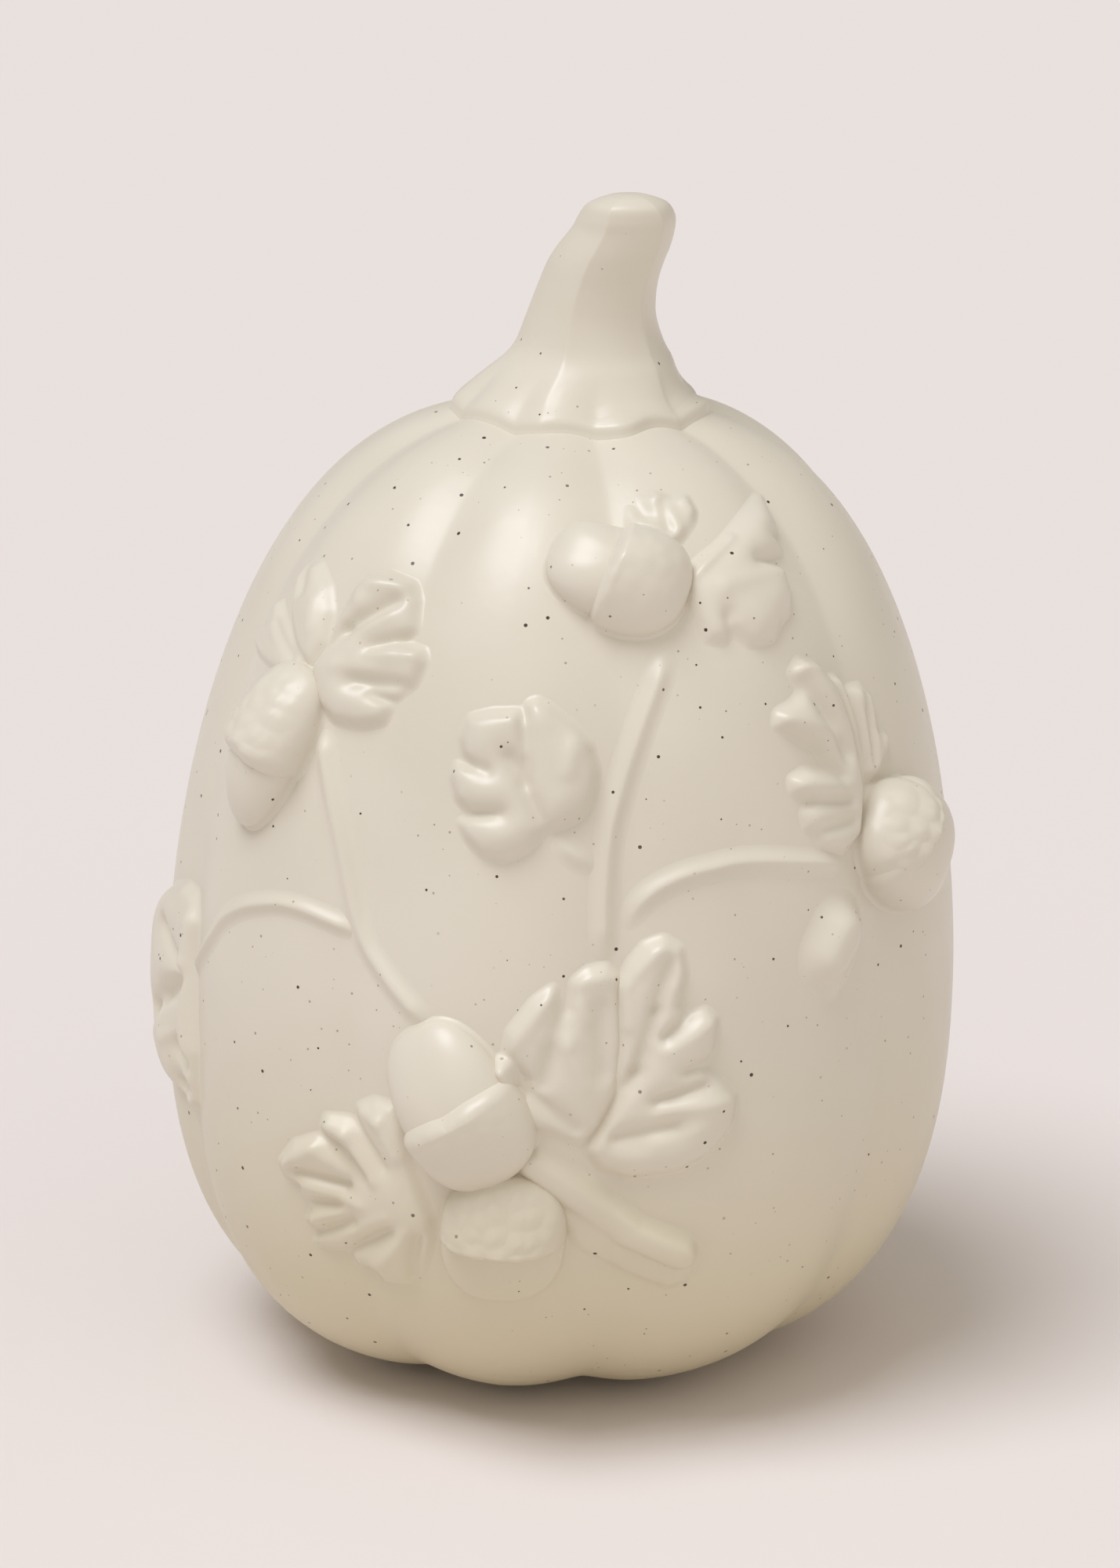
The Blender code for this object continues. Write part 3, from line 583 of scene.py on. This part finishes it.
def ring_faces(rows, columns):
    """Quads between neighbouring closed rings of points."""
    column = np.arange(columns)
    after = (column + 1) % columns
    row = np.arange(rows - 1)[:, None] * columns
    quads = np.stack([row + column, row + after, row + columns + after, row + columns + column], -1)
    return quads.reshape(-1, 4).tolist()


def capped_faces(rows, columns):
    """Quads between neighbouring rings, and one face across each end."""
    first = list(range(columns))
    last = list(range((rows - 1) * columns, rows * columns))
    return [*ring_faces(rows, columns), first, last]


def add_sheet(node, azimuth, arc, lift, keep):
    """A height field on the skin, closed by a back that lies under the glaze. keep marks its cells."""
    top = skin(azimuth, arc, lift * MM)
    back = skin(azimuth, arc, np.full_like(lift, -BACK_DEPTH * MM))
    index = np.arange(lift.size).reshape(lift.shape)
    quads = np.stack([index[:-1, :-1], index[:-1, 1:], index[1:, 1:], index[1:, :-1]], -1)[keep]
    starts, ends = quads.ravel(), np.roll(quads, -1, axis=1).ravel()
    is_rim = ~np.isin(starts * lift.size + ends, ends * lift.size + starts)
    walls = np.stack([ends, starts, starts + lift.size, ends + lift.size], -1)[is_rim]
    faces = np.concatenate([quads, quads[:, ::-1] + lift.size, walls])
    used, faces = np.unique(faces, return_inverse=True)
    points = np.concatenate([top.reshape(-1, 3), back.reshape(-1, 3)])[used]
    add_piece(node, points, faces.reshape(-1, 4).tolist(), glaze)


def smooth_route(route, count):
    """Points of a smooth curve through a list of points."""
    knots = np.array(route, float)
    spots = np.linspace(0, len(knots) - 1, count)
    low = np.minimum(spots.astype(int), len(knots) - 2)
    t = (spots - low)[:, None]
    tangents = np.gradient(knots, axis=0)
    return ((2 * t**3 - 3 * t**2 + 1) * knots[low] + (t**3 - 2 * t**2 + t) * tangents[low]
            + (3 * t**2 - 2 * t**3) * knots[low + 1] + (t**3 - t**2) * tangents[low + 1])


def body_row(arc, inset):
    """Radius, height and the way that grooves sink, at an inset from the outer skin."""
    radius, height, normal_r, normal_z = (float(value) for value in profile(arc))
    fade = min(radius / GROOVE_FADE_RADIUS, 1)
    radius_inside = max(radius - inset * normal_r, POLE_RADIUS)
    return radius_inside, height - inset * normal_z, normal_r * fade, normal_z * fade


def make_body():
    flat = FOOT_RADIUS - FOOT_EDGE
    floor_z = FOOT_Z + WALL
    bevelled = VENT_RADIUS + VENT_BEVEL
    rows = [body_row(arc, 0) for arc in np.linspace(ARC_TOTAL, FOOT_ARC, BODY_OUTER_ROWS)]
    for radius, height in (
        (flat, FOOT_Z), (bevelled, FOOT_Z), (VENT_RADIUS, FOOT_Z + VENT_BEVEL),
        (VENT_RADIUS, floor_z - VENT_BEVEL), (bevelled, floor_z), (flat - WALL, floor_z),
    ):
        rows.append((radius, height, 0, 0))
    rows += [body_row(arc, WALL) for arc in np.linspace(FOOT_ARC + WALL, ARC_TOTAL, BODY_INNER_ROWS)]
    radius, height, in_r, in_z = (column[:, None] for column in np.array(rows).T)
    azimuth = np.linspace(0, 360, BODY_COLUMNS, endpoint=False)[None]
    depth = groove(azimuth, height)
    points = place(azimuth, radius - depth * in_r, height - depth * in_z)
    add_piece("body_shell", points, capped_faces(len(rows), BODY_COLUMNS), glaze)


def stem_section(azimuth, share):
    """Radius of the stem's section: flat faces between ribs, pulled in by a share of the full flat."""
    section = np.ones_like(azimuth)
    for start, end in zip(STEM_RIBS, STEM_RIBS[1:] + (STEM_RIBS[0] + 360,)):
        half = (end - start) / 2
        middle = (azimuth - (start + end) / 2 + 180) % 360 - 180
        chord = math.cos(math.radians(half)) / np.cos(np.radians(np.clip(middle, -half, half)))
        section = np.where(np.abs(middle) <= half, 1 - share * (1 - chord), section)
    return section


def make_stem():
    azimuth = np.linspace(0, 360, STEM_COLUMNS, endpoint=False)
    foot = STEM_FOOT * stem_section(azimuth, STEM_FLATNESS)
    for tip_azimuth, tip_reach, tip_width in FOOT_TIPS:
        beside = (azimuth - tip_azimuth + 180) % 360 - 180
        foot += tip_reach * np.exp(-((beside / tip_width) ** 2))
    rings = []
    for inset, lift in STEM_LIP:
        spot = ARC_TOTAL - (foot - inset) * MM
        rings.append(skin(azimuth, spot, np.full_like(azimuth, lift * MM)))
    crown = place(0.0, 0.0, BODY_HEIGHT)
    turn = np.radians(azimuth)
    stations = smooth_route(STEM_STATIONS, STEM_ROWS)
    for row, (height, shift, half_width) in enumerate(stations):
        share = row / (STEM_ROWS - 1)
        flatness = STEM_FLATNESS + STEM_FLATNESS_GAIN * share
        reach = half_width * stem_section(azimuth + STEM_TWIST * share, flatness) * MM
        forward = STEM_FORWARD * MM * (height / STEM_STATIONS[-1][0]) ** STEM_FORWARD_POWER
        free_x = crown[0] + shift * MM + reach * np.sin(turn)
        free_y = AXIS_Y - forward - reach * np.cos(turn)
        free = np.stack([free_x, free_y, np.full_like(reach, crown[2] + height * MM)], -1)
        draped = skin(azimuth, ARC_TOTAL - reach, np.full_like(azimuth, height * MM))
        blend = smooth_step((height - STEM_STATIONS[0][0]) / STEM_BLEND)
        rings.append(draped + (free - draped) * blend)
    add_piece("stem", np.array(rings), capped_faces(len(rings), STEM_COLUMNS), glaze)


def cells(across, up, pitch):
    """Distance to the nearest of a jittered grid of points, as a share of the pitch."""
    column, row = np.floor(across / pitch), np.floor(up / pitch)
    nearest = np.full_like(across, np.inf)
    for step_x in (-1, 0, 1):
        for step_y in (-1, 0, 1):
            x, y = column + step_x, row + step_y
            jitter = [np.sin(x * by_x + y * by_y) * gain for by_x, by_y, gain in CELL_JITTER]
            point_x, point_y = (start + CELL_MARGIN + CELL_SPREAD * (value - np.floor(value))
                                for start, value in zip((x, y), jitter))
            nearest = np.minimum(nearest, np.hypot(across / pitch - point_x, up / pitch - point_y))
    return nearest


def add_dome(node, azimuth, arc, way, size, square, fullness, tilt, scales):
    """A rounded sprig with a filleted foot, whose top tilts down towards its rear end.

    size is its length ahead and behind, half-width and height. fullness is that of its rear and its front.
    scales is how far its scales stand out.
    """
    ahead, behind, half_width, height = size
    rear_full, front_full = fullness
    turns = np.linspace(0, math.tau, DOME_COLUMNS, endpoint=False)[None]
    cosine, sine = np.cos(turns), np.sin(turns)
    length = np.where(cosine > 0, ahead, behind)
    reach = ((np.abs(cosine) / length) ** square + (np.abs(sine) / half_width) ** square) ** (-1 / square)
    full = np.where(cosine > 0, rear_full + (front_full - rear_full) * cosine**2, rear_full)
    slant = np.linspace(DOME_TOP, math.pi / 2, DOME_ROWS)[:, None]
    share = np.sin(slant) ** (2 / full)
    drop = 1 - tilt * np.maximum(-reach * share * cosine / behind, 0)
    rise = FILLET + (height - FILLET) * drop * np.cos(slant) ** (2 / full)
    fall = np.linspace(0, math.pi / 2, FILLET_ROWS)[1:, None]
    foot_reach = reach + FILLET * (1 - np.cos(fall))
    spread = np.concatenate([reach * share, foot_reach, reach + FILLET + DOME_SKIRT])
    foot = np.concatenate([FILLET * (1 - np.sin(fall)) - SINK * fall, [[-BACK_DEPTH]]])
    lift = np.concatenate([rise, foot + np.zeros_like(turns)])
    along, aside = spread * cosine, spread * sine
    fade = np.concatenate([1 - share**SCALE_FADE, np.zeros((len(fall) + 1, DOME_COLUMNS))])
    hollow = cells(along + SCALE_ORIGIN, aside + SCALE_ORIGIN, SCALE_PITCH)
    lift += scales * fade * (SCALE_LEVEL - hollow) * SCALE_GAIN
    heading = math.radians(way)
    across = along * math.sin(heading) + aside * math.cos(heading)
    up = along * math.cos(heading) - aside * math.sin(heading)
    spot = offset(azimuth, arc * MM, across * MM, up * MM)
    points = skin(*spot, lift * MM)
    add_piece(node, points, capped_faces(len(points), DOME_COLUMNS), glaze)


def make_acorn(name, side, turn):
    rim, tip, nut, cap = ACORNS[name]
    azimuth, arc = from_photo((rim, tip), ACORN_LIFT)
    across, up = apart(azimuth[1], arc[1], azimuth[0], arc[0])
    way = math.degrees(math.atan2(across, up))
    spot = azimuth[0] + turn, arc[0] / MM, way
    nut_length, nut_width, nut_height, nut_square = nut
    cap_length, cap_width, cap_height, front, full, tilt, scales = cap
    nut_size = nut_length, cap_length * NUT_TUCK, nut_width, nut_height
    cap_size = front, cap_length, cap_width, cap_height
    cap_fullness = full, CAP_FRONT_FULLNESS
    add_dome(f"{side}acorn_nut_{name}", *spot, nut_size, nut_square, NUT_FULLNESS, tilt=0, scales=0)
    add_dome(f"{side}acorn_cap_{name}", *spot, cap_size, CAP_SQUARENESS, cap_fullness, tilt, scales)


def make_twig(node, name, turn):
    route, half_width, height, fade = TWIGS[name]
    azimuth, arc = from_photo(route, height / 2)
    points = smooth_route(np.stack([azimuth + turn, arc], -1), TWIG_ROWS)
    azimuth, arc = points[:, :1], points[:, 1:]
    radius = profile(arc)[0]
    ahead = np.concatenate([np.gradient(np.radians(azimuth), axis=0) * radius, np.gradient(arc, axis=0)], 1)
    length = np.linalg.norm(ahead, axis=1)[:, None]
    ahead /= length
    travel = (np.cumsum(length, axis=0) - length[0]) / MM
    taper = smooth_step(np.minimum(travel, travel[-1] - travel) / fade)
    slide = np.linspace(-TWIG_REACH, TWIG_REACH, TWIG_COLUMNS + 1)[None] * half_width
    lift = height * taper * np.exp(-np.abs(slide / half_width) ** TWIG_POWER) - SINK
    spot = offset(azimuth, arc, slide * MM * ahead[:, 1:], -slide * MM * ahead[:, :1])
    add_sheet(node, *spot, lift, np.ones((TWIG_ROWS - 1, TWIG_COLUMNS), bool))


def softened(field, reach):
    """A height field blurred over a reach in cells, as thick glaze softens relief."""
    span = BLUR_SPAN * math.ceil(reach)
    weights = np.exp(-0.5 * (np.arange(-span, span + 1) / reach) ** 2)
    weights /= weights.sum()
    for axis in (0, 1):
        field = np.apply_along_axis(np.convolve, axis, field, weights, "same")
    return field


def make_sprig(node, outline, height, lobes, veins, base_azimuth, base_arc, edge):
    """A soft relief. Its outline, lobes and veins are in millimetres across and up from the base."""
    reach = [max(lobe[2:4]) for lobe in lobes] + [0]
    margin = max(reach) + edge + SPRIG_MARGIN
    ends = np.array([*outline, *(point for lobe in lobes for point in lobe[:2])])
    side_across = np.arange(ends[:, 0].min() - margin, ends[:, 0].max() + margin, LEAF_STEP)
    side_up = np.arange(ends[:, 1].min() - margin, ends[:, 1].max() + margin, LEAF_STEP)
    across, up = np.meshgrid(side_across, side_up)

    def along_line(start, end):
        """Share of the way along a line, held to its ends, and the distance from it."""
        run_across, run_up = end[0] - start[0], end[1] - start[1]
        share = ((across - start[0]) * run_across + (up - start[1]) * run_up) / (run_across**2 + run_up**2)
        share = np.clip(share, 0, 1)
        return share, np.hypot(across - start[0] - share * run_across, up - start[1] - share * run_up)

    # The plate, which swells between its outline and its furrows
    inside = np.zeros(across.shape, bool)
    rim = np.full(across.shape, np.inf)
    for start, end in zip(outline, [*outline[1:], *outline[:1]]):
        rim = np.minimum(rim, along_line(start, end)[1])
        beside = (start[1] > up) != (end[1] > up)
        slope = (end[0] - start[0]) / (end[1] - start[1])
        inside ^= beside & (across < start[0] + (up - start[1]) * slope)
    depth = np.where(inside, rim, -rim)
    plate = smooth_step((depth + edge) / (2 * edge))
    lines = [(along_line(start, end)[1], half_width, rise) for start, end, half_width, rise in veins]
    furrows = [distance for distance, half_width, rise in lines if rise < 0 and half_width < FURROW_WIDTH]
    between = np.minimum.reduce([np.maximum(depth, 0), *furrows])
    swell = 1 - (1 - np.minimum(between / PILLOW_REACH, 1)) ** 2
    lift = height * plate * (1 + PILLOW * (softened(swell, PILLOW_BLUR / LEAF_STEP) - PILLOW_LEVEL))

    # Lobes stand on the plate, and veins rise or sink in both
    for root, tip, root_width, tip_width, root_height, tip_height in lobes:
        share, distance = along_line(root, tip)
        width = root_width + (tip_width - root_width) * share
        soft = np.minimum(edge, LOBE_EDGE * width)
        dome = 1 - smooth_step((distance - width + soft) / (2 * soft))
        plate = np.maximum(plate, dome)
        crown = 1 - LOBE_CROWN * (distance / width) ** 2
        lift = np.maximum(lift, dome * crown * (root_height + (tip_height - root_height) * share))
    for distance, half_width, rise in lines:
        lift += plate * rise * np.exp(-((distance / half_width) ** 2))
    lift = softened(np.maximum(lift, 0), LEAF_BLUR / LEAF_STEP) - SINK
    corner = np.maximum.reduce([lift[:-1, :-1], lift[:-1, 1:], lift[1:, 1:], lift[1:, :-1]])
    spot = offset(base_azimuth, base_arc, across * MM, up * MM)
    add_sheet(node, *spot, lift, corner > LEAST_LIFT - SINK)


def make_drawn_sprig(node, drawing, azimuth, arc, turn, edge):
    """A sprig from the azimuths and arcs of its points, in the drawing's order, turned round the body."""
    outline, height, lobes, veins = drawing
    points = np.stack(apart(azimuth, arc, azimuth[0], arc[0]), -1)
    rim, ends = points[:len(outline)], points[len(outline):].reshape(-1, 2, 2)
    lines = [(*pair, *line[2:]) for pair, line in zip(ends, lobes + veins)]
    make_sprig(node, rim, height, lines[:len(lobes)], lines[len(lobes):], azimuth[0] + turn, arc[0], edge)


def drawn_points(drawing):
    """All points of a drawing: its outline, then the two ends of each lobe and vein."""
    outline, _, lobes, veins = drawing
    return np.array([*outline, *(point for line in lobes + veins for point in line[:2])], float)


def make_photo_sprig(node, name, turn):
    """A sprig that is drawn in pixels of the photograph."""
    drawing = SPRIGS[name]
    edge = BUD_EDGE if name == "bud" else LEAF_EDGE
    make_drawn_sprig(node, drawing, *from_photo(drawn_points(drawing), LEAF_LIFT), turn, edge)


def make_left_leaf():
    azimuth, arc = drawn_points(LEFT_LEAF).T
    make_drawn_sprig("leaf_left", LEFT_LEAF, azimuth, arc * MM, 0, LEAF_EDGE)


def make_felt():
    """A ring of felt, whose section is a rectangle with round corners."""
    outer = (felt_high[0] - felt_low[0]) / 2
    inner = VENT_RADIUS + FELT_HOLE_MARGIN
    bevel = FELT_THICKNESS * FELT_BEVEL_SHARE
    rim = []
    for corner, (radius, height, inward, upward) in enumerate((
        (outer, 0, -1, 1), (outer, FELT_THICKNESS, -1, -1),
        (inner, FELT_THICKNESS, 1, -1), (inner, 0, 1, 1),
    )):
        for step in range(FELT_BEVEL_STEPS + 1):
            angle = math.radians(90 * (corner - 1) + 90 * step / FELT_BEVEL_STEPS)
            section_r = radius + bevel * (inward + math.cos(angle))
            section_z = height + bevel * (upward + math.sin(angle))
            rim.append((section_r, section_z))
    radius, height = (column[:, None] for column in np.array(rim + rim[:1]).T)
    turn = np.linspace(0, math.tau, FELT_COLUMNS, endpoint=False)[None]
    ring = FELT_X + radius * np.sin(turn), AXIS_Y - radius * np.cos(turn), height
    points = np.stack(np.broadcast_arrays(*ring), -1)
    add_piece("felt_ring", points, ring_faces(len(rim) + 1, FELT_COLUMNS), felt)


# Materials
def new_material(name):
    """A material, its node tree and its shader."""
    made = bpy.data.materials.new(name)
    made.use_nodes = True
    return made, made.node_tree, made.node_tree.nodes["Principled BSDF"]


def object_place(tree):
    return tree.nodes.new("ShaderNodeTexCoord").outputs["Object"]


def noise(tree, where, scale, detail):
    node = tree.nodes.new("ShaderNodeTexNoise")
    node.inputs["Scale"].default_value = scale
    node.inputs["Detail"].default_value = detail
    tree.links.new(where, node.inputs["Vector"])
    return node.outputs["Fac"]


def ramp(tree, value, stops):
    """A smooth ramp of a value, between stops of (from low, from high, to low, to high)."""
    node = tree.nodes.new("ShaderNodeMapRange")
    node.interpolation_type = "SMOOTHSTEP"
    for socket, number in zip(("From Min", "From Max", "To Min", "To Max"), stops):
        node.inputs[socket].default_value = number
    tree.links.new(value, node.inputs["Value"])
    return node.outputs["Result"]


def math_node(tree, operation, first, second):
    node = tree.nodes.new("ShaderNodeMath")
    node.operation = operation
    tree.links.new(first, node.inputs[0])
    tree.links.new(second, node.inputs[1])
    return node.outputs["Value"]


def mixed(tree, amount, first, second):
    """A mix of two colours, each one a tuple or a node's output."""
    node = tree.nodes.new("ShaderNodeMix")
    node.data_type = "RGBA"
    tree.links.new(amount, node.inputs["Factor"])
    for position, colour in zip(MIX_COLOURS, (first, second)):
        if isinstance(colour, tuple):
            node.inputs[position].default_value = (*colour, 1.0)
        else:
            tree.links.new(colour, node.inputs[position])
    return node.outputs[MIX_RESULT]


def specks(tree, where, scale, size):
    """Specks of many sizes, up to a share of the cell that each one sits in."""
    node = tree.nodes.new("ShaderNodeTexVoronoi")
    node.inputs["Scale"].default_value = scale
    tree.links.new(where, node.inputs["Vector"])
    chance = tree.nodes.new("ShaderNodeSeparateColor")
    tree.links.new(node.outputs["Color"], chance.inputs["Color"])
    own_size = ramp(tree, chance.outputs["Red"], (0.0, 1.0, SMALLEST_SPECK, 1.0))
    distance = math_node(tree, "DIVIDE", node.outputs["Distance"], own_size)
    return ramp(tree, distance, (size * SPECK_CORE, size, 1.0, 0.0))


def add_bump(tree, shader, height, strength):
    bump = tree.nodes.new("ShaderNodeBump")
    bump.inputs["Strength"].default_value = strength
    bump.inputs["Distance"].default_value = BUMP_DISTANCE
    tree.links.new(height, bump.inputs["Height"])
    tree.links.new(bump.outputs["Normal"], shader.inputs["Normal"])


def make_glaze():
    made, tree, shader = new_material("speckled_cream_glaze")
    where = object_place(tree)
    parts = tree.nodes.new("ShaderNodeSeparateXYZ")
    tree.links.new(where, parts.inputs["Vector"])
    clouds = ramp(tree, noise(tree, where, *CREAM_NOISE), (*CREAM_RANGE, 0, 1))
    # Painted shade: the glaze turns darker and warmer towards the base, below a height
    low = ramp(tree, parts.outputs["Z"], (PAINTED_SHADE_HEIGHT, 0.0, 0.0, 1.0))
    cream = mixed(tree, low, mixed(tree, clouds, *CREAMS), PAINTED_SHADE_CREAM)
    for scale, size, colour, patch_noise, patch_stops in SPECKS:
        patches = ramp(tree, noise(tree, where, *patch_noise), patch_stops)
        amount = math_node(tree, "MULTIPLY", specks(tree, where, scale, size), patches)
        cream = mixed(tree, amount, cream, colour)
    tree.links.new(cream, shader.inputs["Base Color"])
    mottle = noise(tree, where, *GLAZE_ROUGHNESS_NOISE)
    roughness = ramp(tree, mottle, (*GLAZE_ROUGHNESS_RANGE, *GLAZE_ROUGHNESS))
    tree.links.new(roughness, shader.inputs["Roughness"])
    add_bump(tree, shader, noise(tree, where, *GLAZE_BUMP_NOISE), GLAZE_BUMP)
    return made


def make_felt_look():
    made, tree, shader = new_material("grey_felt")
    fibre = noise(tree, object_place(tree), *FIBRE_NOISE)
    tint = tree.nodes.new("ShaderNodeValToRGB")
    for stop, colour in zip(tint.color_ramp.elements, FELT_COLOURS):
        stop.color = (*colour, 1)
    tree.links.new(fibre, tint.inputs["Fac"])
    tree.links.new(tint.outputs["Color"], shader.inputs["Base Color"])
    shader.inputs["Roughness"].default_value = FELT_ROUGHNESS
    shader.inputs["Sheen Weight"].default_value = FELT_SHEEN
    add_bump(tree, shader, fibre, FELT_BUMP)
    return made


# Floor, light and camera
def make_stage():
    made, _, shader = new_material("studio_paper")
    shader.inputs["Base Color"].default_value = (*FLOOR_COLOUR, 1)
    shader.inputs["Roughness"].default_value = FLOOR_ROUGHNESS
    shader.inputs["Specular IOR Level"].default_value = 0.0
    mesh = bpy.data.meshes.new("studio_floor")
    far = FLOOR_HALF_WIDTH
    mesh.from_pydata([(-far, -far, 0), (far, -far, 0), (far, far, 0), (-far, far, 0)], [], [(0, 1, 2, 3)])
    mesh.materials.append(made)
    floor = bpy.data.objects.new("studio_floor", mesh)
    bpy.context.scene.collection.objects.link(floor)


def make_sky():
    world = bpy.data.worlds.new("studio")
    bpy.context.scene.world = world
    world.use_nodes = True
    tree = world.node_tree
    sky = tree.nodes["Background"]
    sky.inputs["Color"].default_value = (*SKY_COLOUR, 1)
    facing = tree.nodes.new("ShaderNodeVectorMath")
    facing.operation = "DOT_PRODUCT"
    facing.inputs[1].default_value = SKY_WAY
    tree.links.new(tree.nodes.new("ShaderNodeTexCoord").outputs["Generated"], facing.inputs[0])
    strength = ramp(tree, facing.outputs["Value"], (*SKY_RANGE, SKY_BACK, SKY_FRONT))
    tree.links.new(strength, sky.inputs["Strength"])


def make_sun():
    lamp = bpy.data.lights.new("key", "SUN")
    lamp.energy = SUN_POWER
    lamp.angle = math.radians(SUN_ANGLE)
    lamp.color = SUN_COLOUR
    key = bpy.data.objects.new("key", lamp)
    key.rotation_euler = (math.radians(90 - SUN_ELEVATION), 0, math.radians(SUN_TURN))
    bpy.context.scene.collection.objects.link(key)


def make_camera():
    lens = bpy.data.cameras.new("camera")
    lens.sensor_fit = "VERTICAL"
    lens.sensor_height = CAMERA_SENSOR
    lens.lens = CAMERA_LENS
    lens.shift_y = CAMERA_SHIFT
    lens.clip_start, lens.clip_end = CAMERA_CLIP
    camera = bpy.data.objects.new("camera", lens)
    camera.location = CAMERA_SPOT
    camera.rotation_euler = (math.pi / 2 - TILT, 0, 0)
    bpy.context.scene.collection.objects.link(camera)
    bpy.context.scene.camera = camera


# The figure on its stage
bpy.context.scene.view_settings.view_transform = "Standard"
glaze = make_glaze()
felt = make_felt_look()
make_body()
make_felt()
make_stem()
for side, turn, acorns, twigs, sprigs in (
    ("", 0, ACORNS, TWIGS, SPRIGS), ("back_", BACK_TURN, BACK_ACORNS, BACK_TWIGS, BACK_SPRIGS),
):
    for acorn in acorns:
        make_acorn(acorn, side, turn)
    for twig in twigs:
        make_twig(side + twig, twig, turn)
    for sprig in sprigs:
        make_photo_sprig(side + sprig, sprig, turn)
make_left_leaf()
make_stage()
make_sky()
make_sun()
make_camera()
